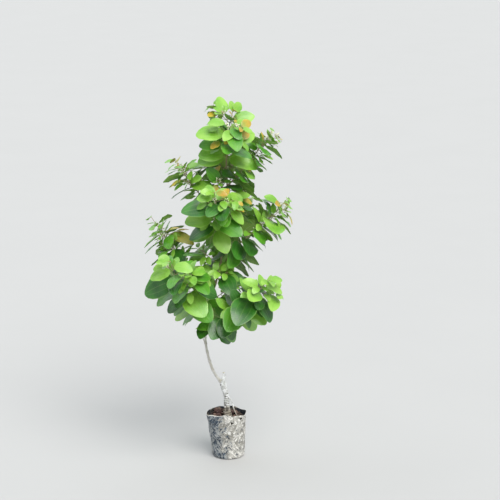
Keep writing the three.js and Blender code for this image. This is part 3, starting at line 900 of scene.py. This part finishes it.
# Blade: one leaf as two thin faces that share their margin, with the midrib pressed in
blade = {
    "rows": (0, 0.032, 0.135, 0.3, 0.51, 0.72, 0.89, 0.975, 1), "columns": (-1, -0.5, 0, 0.5, 1),
    "bluntness": 0.58, "crests": (-1.0, 0.2, 0),    # relief at the midrib, the side nerves and the margin
    "nerveDepth": 0.021, "thickness": 0.011, "margin": 0.024, "cup": 0.09, "twist": 0.65,
    "bites": ((0.5, 0.66, 0.1, 1), (0.32, 0.35, 0.07, -1)),     # depth, place along, length, side
    "liveliness": (1, 0.9, 0.8, 0.65, 0.5, 0.35, 0.2, 0),       # tried until a blade cuts no other one
}


def bladeOutline(u):                # as the outline that the growth keeps clear, with blunter ends
    return bulge(u, growth["leafCurve"][0], blade["bluntness"])


def bladeShape():
    bm = bmesh.new()
    lastRow, lastColumn = len(blade["rows"]) - 1, len(blade["columns"]) - 1
    for isUnder in (False, True):
        grid = bmesh.ops.create_grid(bm, x_segments=lastColumn, y_segments=lastRow, size=1)["verts"]
        for vert in grid:
            u = blade["rows"][round((vert.co.y + 1) / 2 * lastRow)]
            v = blade["columns"][round((vert.co.x + 1) / 2 * lastColumn)]
            edge = bladeOutline(u) if 0 < u < 1 else 0.0
            lift = (1 - v ** 2) * (0.02 if 0 < u < 1 else 0)
            vert.co = (v * edge / 2, u, -lift if isUnder else lift)
        if isUnder:
            faces = {face for vert in grid for face in vert.link_faces}
            bmesh.ops.reverse_faces(bm, faces=list(faces))
            for face in faces:
                face.material_index = 1
    bmesh.ops.remove_doubles(bm, verts=bm.verts, dist=0.0001)
    bmesh.ops.dissolve_degenerate(bm, edges=bm.edges, dist=0.0001)
    finishes = np.array([face.material_index for face in bm.faces], dtype=np.int32)
    vertices, faces = shapeArrays(bm)
    u, side = vertices[:, 1], np.sign(vertices[:, 2])
    half = np.where((u > 0.001) & (u < 0.999), bladeOutline(u) / 2, 1.0)
    v = np.clip(vertices[:, 0] / half, -1, 1)
    places = np.array([(v[i] / 2 + 0.5, u[i]) for face in faces for i in face])
    return {"u": u, "v": v, "side": side, "faces": faces, "finishes": finishes, "places": places}


def bladeVertices(leaf, random, bitten=False, lively=1):
    u, v = leafShape["u"], leafShape["v"]
    swell = np.sin(np.pi * u) ** 0.6
    relief = blade["nerveDepth"] * np.interp(np.abs(v), (0, 0.5, 1), blade["crests"]) * swell
    left, right, waves = 6.3 * random(), 6.3 * random(), 1.3 + 1.6 * random()
    ripple = np.sin(2 * math.pi * waves * u + np.where(v < 0, left, right)) * np.abs(v) ** 3 * swell
    relief = relief + lively * blade["margin"] * (0.5 + random()) * ripple
    relief = relief + lively * blade["cup"] * (random() - 0.62) * v ** 2 * swell
    relief = relief + leafShape["side"] * blade["thickness"] / 2 * (1 - v ** 2) * swell
    across = v * bladeOutline(u) * leaf["width"] / 2
    relief = relief + lively * blade["twist"] * (random() - 0.5) * u * across / leaf["length"]
    if bitten:                      # something has eaten a piece out of each side
        across = across * (1 - sum(depth * np.exp(-((u - along) / length) ** 2) * (v * side > 0.6)
                                   for depth, along, length, side in blade["bites"]))
    return leafPoints(leaf, u, across, relief * leaf["length"])


leafShape = bladeShape()


# Dry leaf litter that lies on the soil, more of it at the back and on the left
litter = {"count": 42, "size": (9, 21), "pile": 8,
          "dryLeaf": ((92, 66, 62), (126, 102, 88)), "fleck": (58, 44, 42)}


def litterLeaf(random, x, y, size, height, tilt):
    turn = 2 * math.pi * random()
    axis = unit(np.array((math.cos(turn), math.sin(turn), tilt)))
    beside = (-math.sin(turn + random() - 0.5), math.cos(turn + random() - 0.5), 0.5 * (random() - 0.5))
    normal = unit(crossOf(axis, beside))
    normal = normal if normal[2] > 0 else -normal
    return {"root": np.array((x, y, height)) - axis * size / 2, "axis": axis, "normal": normal,
            "side": crossOf(normal, axis), "length": size, "width": size * (0.45 + 0.3 * random()),
            "bend": 0.5 + 1.4 * random(), "fold": 0.1 + 0.6 * random()}


def makeLitter():
    random = seededRandom(23)
    copies = []
    for _ in range(litter["count"]):
        x, y = onSoil(random, 0.8)
        size = lerp(*litter["size"], random())
        if random() < 0.6:
            x, y = (x, abs(y)) if random() < 0.5 else (-abs(x + 7) - 7, y)
        pile = litter["pile"] * smooth(y - x, 10, 50)
        height = soilTop(x, y) + 2.5 + (5 + pile) * random()
        copies.append(bladeVertices(litterLeaf(random, x, y, size, height, 0.5 * (random() - 0.35)), random))
    linkCopies("leaf_litter", copies, leafShape["faces"], litterFinish(), [])


def litterFinish():
    finish = newFinish("dry leaf litter", Roughness=0.8)
    place = objectPlace(finish)
    fleck = noiseOf(place, 420, 4)
    color = layOver(*litter["dryLeaf"], noiseOf(place, 48, 2), 0.4, 0.6)
    return dress(finish, layOver(color, litter["fleck"], fleck, 0.5, 0.72), None, fleck, 0.0005)


makeLitter()
print("litter:", litter["count"], "dry leaves")


# Rootstock: grey ringed bark, swollen at the graft, with a slanted dry cut above it
rootstock = {
    "path": [(-2, 0, 96), (-4, 0, 124), (-6.5, 0, 156), (-13, 0, 185), (-12.4, 0, 214)],
    "radii": (10.4, 7, 5.7, 6.9, 3.3), "sides": 48, "rings": 230,
    "snagCut": [(-24, 184), (-20, 190), (-15.6, 198), (-14.2, 213)],    # its left side, x and height
    "ringSpacing": 6.3, "ringDrift": 3.2, "ringDepth": 1.2, "ringWidth": 0.15, "ringsEnd": (174, 158),
    "crackDepth": 0.4, "lump": 0.9, "graftHeight": 186, "callus": 0.9, "footHeight": 100, "flare": 0.9,
    "dryRoot": [(-4, -2, 155), (3.5, -5, 149), (9.5, -7, 137), (13.5, -8, 121), (24, -10, 99)],
    "dryRootRadii": (1.1, 1.5, 1.4, 1.7), "dryRootSides": 10, "dryRootRings": 60,
    "bark": ((244, 246, 246), (198, 200, 196)), "stain": (140, 126, 98), "darkGrain": (104, 100, 94),
    "paleGrain": (240, 239, 234), "crack": (76, 69, 60), "cutWood": ((244, 240, 222), (196, 180, 146)),
}


def barkRelief(places, angles):     # relief in mm and how dark the cracks are, for each vertex
    relief, cracks = np.zeros(len(places)), np.zeros(len(places))
    for i, (place, angle) in enumerate(zip(places, angles)):
        here, height = Vector(place), place[2]
        drift = noise.noise(around(angle, 1, height / 30)) * rootstock["ringDrift"]
        ring = ((height + drift) / rootstock["ringSpacing"]) % 1
        partly = smooth(noise.noise(Vector((here.x / 7, here.y / 7, here.z / 4 + 9))), -0.25, 0.2)
        groove = math.exp(-((ring - 0.5) / rootstock["ringWidth"]) ** 2)
        groove *= smooth(height, *rootstock["ringsEnd"]) * (0.4 + 0.6 * partly)
        fissure = abs(noise.noise(Vector((here.x / 5, here.y / 5, here.z / 17))))
        crack = smooth(0.07, 0.0, fissure) * smooth(noise.noise(here / 9 + Vector((0, 0, 4))), 0.0, 0.3)
        callus = math.exp(-((height - rootstock["graftHeight"]) / 7) ** 2) * (0.5 + noise.noise(here / 3.5))
        relief[i] = rootstock["ringDepth"] * (0.5 - groove) - rootstock["crackDepth"] * crack
        relief[i] += rootstock["lump"] * noise.noise(here / 8) + 0.25 * noise.noise(here / 1.6)
        relief[i] += rootstock["callus"] * callus
        cracks[i] = min(1, 0.85 * groove + 0.8 * crack)
    return relief, cracks


def makeRootstock():
    limb = newLimb(rootstock["path"], rootstock["radii"])
    shape, faces = tubeShape(rootstock["sides"], rootstock["rings"])
    radius = radiusAlong(limb, shape[:, 2])
    smoothTube = bendTube(shape, limb["points"], radius)
    angles = np.arctan2(shape[:, 1], shape[:, 0])
    relief, cracks = barkRelief(smoothTube, angles)
    foot = np.exp(-((smoothTube[:, 2] - rootstock["footHeight"]) / 12) ** 2)
    relief = relief + rootstock["flare"] * foot * np.sin(4 * angles + 0.7)      # four ribs run out into roots
    mesh = meshFromCopies("rootstock_bark", [bendTube(shape, limb["points"], radius + relief)], faces)
    mesh.attributes.new("crack", "FLOAT", "POINT").data.foreach_set("value", cracks)
    bm = bmesh.new()
    bm.from_mesh(mesh)
    across, heights = zip(*rootstock["snagCut"])
    pared = set()
    for vert in bm.verts:
        limit = np.interp(vert.co.z / mm, heights, across) + 0.25 * noise.noise(vert.co / mm / 1.5)
        if vert.co.z / mm > heights[0] and vert.co.x / mm < limit:
            vert.co.x = limit * mm
            pared.add(vert)
    for face in bm.faces:
        if pared.issuperset(face.verts) or len(face.verts) > 4:
            face.material_index = 1
    bmesh.ops.recalc_face_normals(bm, faces=bm.faces)
    bm.to_mesh(mesh)
    bm.free()
    linkPiece("rootstock_bark", mesh, [ringedBark, cutWoodFinish()], ["rootstock"])


def makeDryRoot():
    limb = newLimb(rootstock["dryRoot"], rootstock["dryRootRadii"])
    shape, faces = tubeShape(rootstock["dryRootSides"], rootstock["dryRootRings"])
    radius = radiusAlong(limb, shape[:, 2])
    bumps = [0.35 * noise.noise(Vector(place) / 2.4) for place in bendTube(shape, limb["points"], radius)]
    linkCopies("dry_root", [bendTube(shape, limb["points"], radius + bumps)], faces, ringedBark, [])


def rootstockFinish():
    finish = newFinish("ringed grey bark", Roughness=0.88)
    place = objectPlace(finish)
    blotch, grain = noiseOf(place, 110, 5, 0.6), noiseOf(objectPlace(finish, (1, 1, 2.2)), 420, 6, 0.65)
    low = stepOf(axisOf(place, "Z"), 0.15, 0.11)
    color = layOver(*rootstock["bark"], blotch, 0.43, 0.58)
    # browner and darker towards the bottom, and in some blotches
    color = layOver(color, rootstock["stain"], low + blotch * 0.7, 0.6, 1.3, 0.78)
    color = layOver(color, rootstock["darkGrain"], grain, 0.5, 0.66, 0.6)
    color = layOver(color, rootstock["paleGrain"], grain, 0.46, 0.32, 0.6)
    color = layOver(color, rootstock["crack"], attributeOf(finish, "crack"), 0.1, 0.6, 0.85)
    return dress(finish, color, None, grain, 0.0006)


def cutWoodFinish():
    finish = newFinish("dry cut wood", Roughness=0.85)
    fibre = noiseOf(objectPlace(finish, (1, 1, 0.12)), 900, 3)
    return dress(finish, layOver(*rootstock["cutWood"], fibre, 0.4, 0.62), None, fibre, 0.0003)


ringedBark = rootstockFinish()
makeRootstock()
makeDryRoot()
print("rootstock: bark, cut snag and dry root")


# Scion and boughs: smooth tan bark, a little swollen at every node
bark = {
    "scion": {"sides": 20, "rings": 420, "collar": 2.4}, "bough": {"sides": 12, "rings": 44, "collar": 0.9},
    "lowNodes": (224, 246, growth["lowShootHeight"], 292, 313), "boughNodes": (0.33, 0.66, 1),
    "nodeSwelling": 0.3, "nodeLength": 3.5, "collarLength": 6, "streak": 0.12,
    "grey": ((216, 216, 210), (192, 188, 178)), "streaks": (228, 224, 212), "dots": (232, 222, 198),
    "flecks": (112, 100, 86), "tan": (160, 124, 94), "green": (146, 148, 82),
}


def youngTube(name, node, limb, build, nodeShares):
    shape, faces = tubeShape(build["sides"], build["rings"])
    share, length = shape[:, 2], limbLength(limb)
    radius = radiusAlong(limb, share)
    smoothTube = bendTube(shape, limb["points"], radius)
    for nodeShare in nodeShares:
        away = (share - nodeShare) * length / bark["nodeLength"]
        radius = radius * (1 + bark["nodeSwelling"] * np.exp(-away ** 2))
    radius = radius + build["collar"] * np.exp(-share * length / bark["collarLength"])
    ridges = np.array([noise.noise(Vector((x / 1.1, y / 1.1, z / 22))) for x, y, z in smoothTube])
    lumps = np.array([noise.noise(Vector(place) / 9) for place in smoothTube])
    radius = radius * (1 + bark["streak"] * (ridges + 0.6 * lumps))
    linkCopies(name, [bendTube(shape, limb["points"], radius)], faces, youngBark, [node])


def youngBarkFinish():              # greyer low down, tan in the middle and greenish at the top
    finish = newFinish("tan young bark", Roughness=0.68)
    place = objectPlace(finish)
    streak, height = noiseOf(objectPlace(finish, (1, 1, 0.1)), 900, 4), axisOf(place, "Z")
    color = layOver(*bark["grey"], noiseOf(place, 32, 3), 0.36, 0.64)
    color = layOver(color, bark["streaks"], streak, 0.5, 0.72, 0.7)
    color = layOver(color, bark["dots"], cellsOf(objectPlace(finish, (1, 1, 0.6)), 330.0), 0.2, 0.1)
    color = layOver(color, bark["flecks"], noiseOf(place, 520, 5, 0.7), 0.55, 0.68, 0.6)
    color = layOver(color, bark["tan"], height, 0.26, 0.46, 0.7)
    color = layOver(color, bark["green"], height, 0.62, 0.86, 0.8)
    return dress(finish, color, None, streak, 0.0003)


youngBark = youngBarkFinish()
nodeHeights = [*bark["lowNodes"], *np.linspace(*growth["nodeHeights"], growth["nodeCount"])]
scionNodes = [shareAtHeight(scion, height) for height in nodeHeights]
youngTube("scion_bark", "scion_stem", scion, bark["scion"], scionNodes)
for i, bough in enumerate(boughs):
    youngTube(f"bough_bark_{i + 1}", f"bough_{i + 1}", bough, bark["bough"], bark["boughNodes"])
print("stem: scion and", len(boughs), "boughs")


# Twigs and leaf stalks
twigLook = {
    "stemTube": (6, 30), "twigTube": (5, 9), "stalkTube": (5, 4),       # sides and rings
    "bead": 0.28, "beadWidth": 0.13,                                    # a small swelling at every node
    "stalkRadii": (0.85, 0.62, 0.6), "stalkRise": 0.12, "stalk": ((142, 158, 84), (166, 146, 92)),
}
foliageNodes = sorted(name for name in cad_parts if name.startswith("foliage_"))


def boxedTree(vertices, faces):     # a search tree of a shape, and its box
    tree = BVHTree.FromPolygons(vertices.tolist(), faces)
    return tree, vertices.min(axis=0).tolist(), vertices.max(axis=0).tolist()


def makeTwigs(name, limbs, size):
    shape, faces = tubeShape(*size)
    share, copies = shape[:, 2], []
    for limb in limbs:
        steps = len(limb["points"]) - 1
        away = (share * steps - np.round(share * steps)) / twigLook["beadWidth"]
        radius = radiusAlong(limb, share) * (1 + twigLook["bead"] * np.exp(-away ** 2))
        copies.append(bendTube(shape, limb["points"], radius))
    linkCopies(name, copies, faces, youngBark, foliageNodes)
    return [boxedTree(copy, faces) for copy in copies]


def makeStalks():
    shape, faces = tubeShape(*twigLook["stalkTube"])
    copies = []
    for leaf in grownLeaves:
        rise = up * twigLook["stalkRise"] * growth["stalkLength"] * leaf["size"]
        middle = (leaf["node"] + leaf["root"]) / 2 + rise
        end = leaf["root"] + leaf["axis"] * leaf["length"] * 0.03
        limb = newLimb([leaf["node"], middle, end], twigLook["stalkRadii"])
        radius = radiusAlong(limb, shape[:, 2]) * (0.6 + 0.45 * leaf["size"])
        copies.append(bendTube(shape, limb["points"], radius))
    linkCopies("leaf_stalks", copies, faces, greenStalk, foliageNodes)


def stalkFinish():
    finish = newFinish("leaf stalk", Roughness=0.55)
    return dress(finish, layOver(*twigLook["stalk"], noiseOf(objectPlace(finish), 40, 2), 0.4, 0.6))


greenStalk = stalkFinish()
boxedTwigs = makeTwigs("shoot_stems", [shoot["stem"] for shoot in shoots], twigLook["stemTube"])
boxedTwigs += makeTwigs("leafy_twigs", twigs, twigLook["twigTube"])
makeStalks()
print("twigs and stalks: joined")


# Leaves, each tint a piece of its own
tints = {                           # the upper side, its light patches, its foot, and the underside
    "mature": ((24, 86, 12), (54, 126, 22), (44, 112, 20), (124, 160, 84)),
    "fresh": ((56, 134, 18), (96, 168, 32), (80, 150, 26), (144, 180, 88)),
    "lime": ((106, 172, 42), (150, 202, 78), (120, 178, 42), (162, 200, 96)),
    "rusty": ((184, 146, 38), (202, 180, 52), (138, 162, 48), (200, 190, 112)),
    "yellowing": ((186, 178, 60), (214, 206, 104), (158, 172, 62), (196, 192, 120)),
}
paleNerves = (206, 214, 168)        # on every underside
# more of the paler fresh and lime tints high up in the crown: partly young growth, partly painted light from
# above
dealing = {"limeFrom": (0.87, 0.58), "limeChance": (0.05, 0.3), "freshShare": (0.32, 1.0),     # low, high up
           "rustyFrom": 0.84, "rustyHeight": 560, "rustyChance": 0.2, "rustySize": 0.66,
           "yellowing": (37, 131), "bitten": (12, 60, 96, 151)}     # single leaves, by number


def tintOf(leaf, number):
    low, high = growth["crownHeights"]
    height = (leaf["node"][2] - low) / (high - low)
    chance = seededRandom(leaf["seed"] + 5)
    chance()
    if number in dealing["yellowing"]:
        return "yellowing"
    isYoung = leaf["share"] > dealing["rustyFrom"] and leaf["node"][2] > dealing["rustyHeight"]
    if isYoung and leaf["size"] < dealing["rustySize"] and chance() < dealing["rustyChance"]:
        return "rusty"
    # paler tints more often high up: partly painted light from above
    if leaf["share"] > lerp(*dealing["limeFrom"], height) or chance() < lerp(*dealing["limeChance"], height):
        return "lime"
    return "fresh" if chance() < lerp(*dealing["freshShare"], height) else "mature"


def clearBlade(leaf, isBitten, placed):     # shaped again, and flatter, until it cuts through no other shape
    fewestCuts = None
    for attempt, lively in enumerate(blade["liveliness"]):
        vertices = bladeVertices(leaf, seededRandom(leaf["seed"] + 17 + 100 * attempt), isBitten, lively)
        tree, low, high = boxedTree(vertices, leafShape["faces"])
        cuts = sum(len(tree.overlap(other)) for other, first, last in placed
                   if all(a < b for a, b in zip(low + first, last + high)))
        if fewestCuts is None or cuts < fewestCuts:
            fewestCuts, best, boxed = cuts, vertices, (tree, low, high)
        if cuts == 0:
            break
    placed.append(boxed)
    return best


def makeLeaves():
    sprays = {tint: [] for tint in tints}
    placed = list(boxedTwigs)
    for number, leaf in enumerate(grownLeaves):
        sprays[tintOf(leaf, number)].append(clearBlade(leaf, number in dealing["bitten"], placed))
    for tint, copies in sprays.items():
        name = f"{tint}_leaves"
        mesh = meshFromCopies(name, copies, leafShape["faces"], leafShape["finishes"], leafShape["places"])
        mesh.set_sharp_from_angle(angle=math.radians(70))
        linkPiece(name, mesh, [leafFinish(tint), undersideFinish(tint)], foliageNodes)
    print("leaves:", {tint: len(copies) for tint, copies in sprays.items()})


def nervesOf(finish, midribWidth, sideShare):   # the midrib and the two side nerves, and places on the blade
    place = addNode(finish.node_tree, "UVMap", "UV", {}, uv_map="blade")
    across = abs(axisOf(place, "X") * 2.0 - 1.0)
    side = stepOf(abs(across - 0.5), 0.045, 0.0)
    return mathOf("MAXIMUM", stepOf(across, midribWidth, 0.0), side * sideShare), across, axisOf(place, "Y")


def leafFinish(tint):
    finish = newFinish(f"{tint} leaf", Specular_IOR_Level=0.6, Coat_Weight=0.4, Coat_Roughness=0.28)
    (top, light, foot, under), here = tints[tint], objectPlace(finish)
    nerves, across, along = nervesOf(finish, 0.055, 0.8)
    rungs = mathOf("SINE", (along + across * -0.12) * 120.0)        # small veins between the nerves
    grain = noiseOf(here, 260, 4)
    color = layOver(top, light, noiseOf(here, 19, 2), 0.36, 0.66)
    color = layOver(color, light, grain, 0.45, 0.75, 0.3)
    color = layOver(color, foot, along - noiseOf(here, 70, 3), 0.15, -0.35, 0.8)
    color = blendOf(nerves * 0.34, color, under)
    # a paler margin: partly the leaf's own paler edge, partly a painted edge highlight
    color = layOver(color, under, across, 0.9, 1.0, 0.8)
    color = layOver(color, under, rungs, 0.7, 1.0, 0.12)
    relief = grain * 0.4 - nerves - stepOf(rungs, 0.5, 1.0, 0, 0.3)
    return dress(finish, color, stepOf(grain, 0.3, 0.7, 0.34, 0.52), relief, 0.0003)


def undersideFinish(tint):
    finish = newFinish(f"{tint} underside", Roughness=0.72)
    _, light, _, under = tints[tint]
    nerves = nervesOf(finish, 0.06, 1.0)[0]
    color = layOver(under, light, noiseOf(objectPlace(finish), 90, 3), 0.35, 0.65, 0.4)
    return dress(finish, blendOf(nerves * 0.5, color, paleNerves), None, nerves, 0.0006)


makeLeaves()


# Cymes: small cream flowers and buds on short stalks in the upper leaf axils
cyme = {
    "flowers": 6, "flowerRadius": (2.1, 2.9), "buds": 6, "budRadius": (1.1, 1.7), "spread": 5,
    "stalk": 9, "stalkRadius": 0.45, "sideStalkRadius": 0.28, "cream": ((244, 244, 222), (222, 226, 176)),
}


def flowerShape():                  # a shallow cup with five lobes
    bm = bmesh.new()
    bmesh.ops.create_cone(bm, cap_ends=True, segments=10, radius1=0.3, radius2=1, depth=0.5)
    rim = [vert for vert in bm.verts if vert.co.z > 0]
    rim.sort(key=lambda vert: math.atan2(vert.co.y, vert.co.x))
    for vert in rim[::2]:
        vert.co.xy *= 0.5
    lid = [face for face in bm.faces if len(face.verts) == 10 and face.calc_center_median().z > 0]
    bmesh.ops.poke(bm, faces=lid)["verts"][0].co.z -= 0.3
    return shapeArrays(bm)


def budShape():
    bm = bmesh.new()
    bmesh.ops.create_uvsphere(bm, u_segments=7, v_segments=5, radius=1)
    return shapeArrays(bm)


def makeCymes():
    (star, starFaces), (ball, ballFaces), (tube, tubeFaces) = flowerShape(), budShape(), tubeShape(4, 2)
    random = seededRandom(61)
    flowers, buds, stalks = [], [], []
    for axil in axils:
        outward = outwardAt(axil)
        centre = axil + unit(outward + up * (0.4 + 0.6 * random())) * cyme["stalk"]
        line = np.array([axil - up * 2, (axil + centre) / 2, centre])
        stalks.append(bendTube(tube, line, cyme["stalkRadius"]))
        for i in range(cyme["flowers"] + cyme["buds"]):
            away = np.array((random() - 0.5, random() - 0.5, random() - 0.3)) * 2 * cyme["spread"]
            place = centre + away + outward * 1.5
            line = np.array([centre, (centre + place) / 2, place])
            stalks.append(bendTube(tube, line, cyme["sideStalkRadius"]))
            if i < cyme["flowers"]:
                face = Vector(unit(place - centre + outward * 3)).to_track_quat("Z", "Y").to_matrix()
                flowers.append((star * lerp(*cyme["flowerRadius"], random())) @ np.array(face).T + place)
            else:
                buds.append(ball * lerp(*cyme["budRadius"], random()) + place)
    linkCopies("flowers", flowers, starFaces, creamPetal, [])
    linkCopies("flower_buds", buds, ballFaces, creamPetal, [])
    linkCopies("flower_stalks", stalks, tubeFaces, greenStalk, [])
    print("cymes:", len(flowers), "flowers and", len(buds), "buds")


def flowerFinish():
    finish = newFinish("cream flower", Roughness=0.6)
    return dress(finish, layOver(*cyme["cream"], noiseOf(objectPlace(finish), 700, 2), 0.4, 0.6))


creamPetal = flowerFinish()
makeCymes()


# Floor, light and camera
stage = {
    "floor": ((188, 188, 187), (185, 185, 184)), "world": (0.92, 0.96, 1.0, 1.0), "worldStrength": 0.6,
    "lights": [("key light", (0.9, -1.7, 2.4), 44, 3.1, (1.0, 0.98, 0.95)),     # from, spread, strength
               ("rear light", (-0.7, 1.6, 2.2), 80, 0.9, (0.86, 0.94, 1.0))],
    "camera": (0.053, -3.51, 1.40), "pitch": 14, "lens": 108, "sensor": 36,
}


def makeFloor():
    bm = bmesh.new()
    bmesh.ops.create_circle(bm, cap_ends=True, segments=96, radius=30)
    floor = addObject("studio_floor", meshFromBmesh("studio_floor", bm))
    finish = newFinish("pale floor", Roughness=0.9)
    shade = noiseOf(objectPlace(finish), 3, 2)
    floor.data.materials.append(dress(finish, blendOf(shade, *stage["floor"])))
    floor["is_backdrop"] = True


def makeLights():
    for name, place, spread, strength, color in stage["lights"]:
        light = bpy.data.lights.new(name, "SUN")
        light.angle, light.energy, light.color = math.radians(spread), strength, color
        lamp = addObject(name, light)
        lamp.location = place
        lamp.rotation_euler = (-Vector(place)).to_track_quat("-Z", "Y").to_euler()
    world = bpy.data.worlds.new("soft studio")
    world.use_nodes = True
    sky = world.node_tree.nodes["Background"]
    sky.inputs["Color"].default_value = stage["world"]
    sky.inputs["Strength"].default_value = stage["worldStrength"]
    bpy.context.scene.world = world
    bpy.context.scene.view_settings.view_transform = "Standard"


def makeCamera():
    view = bpy.data.cameras.new("photo view")
    view.lens, view.sensor_width = stage["lens"], stage["sensor"]
    view.clip_end = 100
    camera = addObject("photo view", view)
    camera.location = stage["camera"]
    camera.rotation_euler = (math.radians(90 - stage["pitch"]), 0, 0)
    bpy.context.scene.camera = camera


makeFloor()
makeLights()
makeCamera()
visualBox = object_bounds()
for name, box in (("solids", solidBox), ("dressed", visualBox)):
    print("size:", name, [round(value, 3) for corner in box for value in corner])
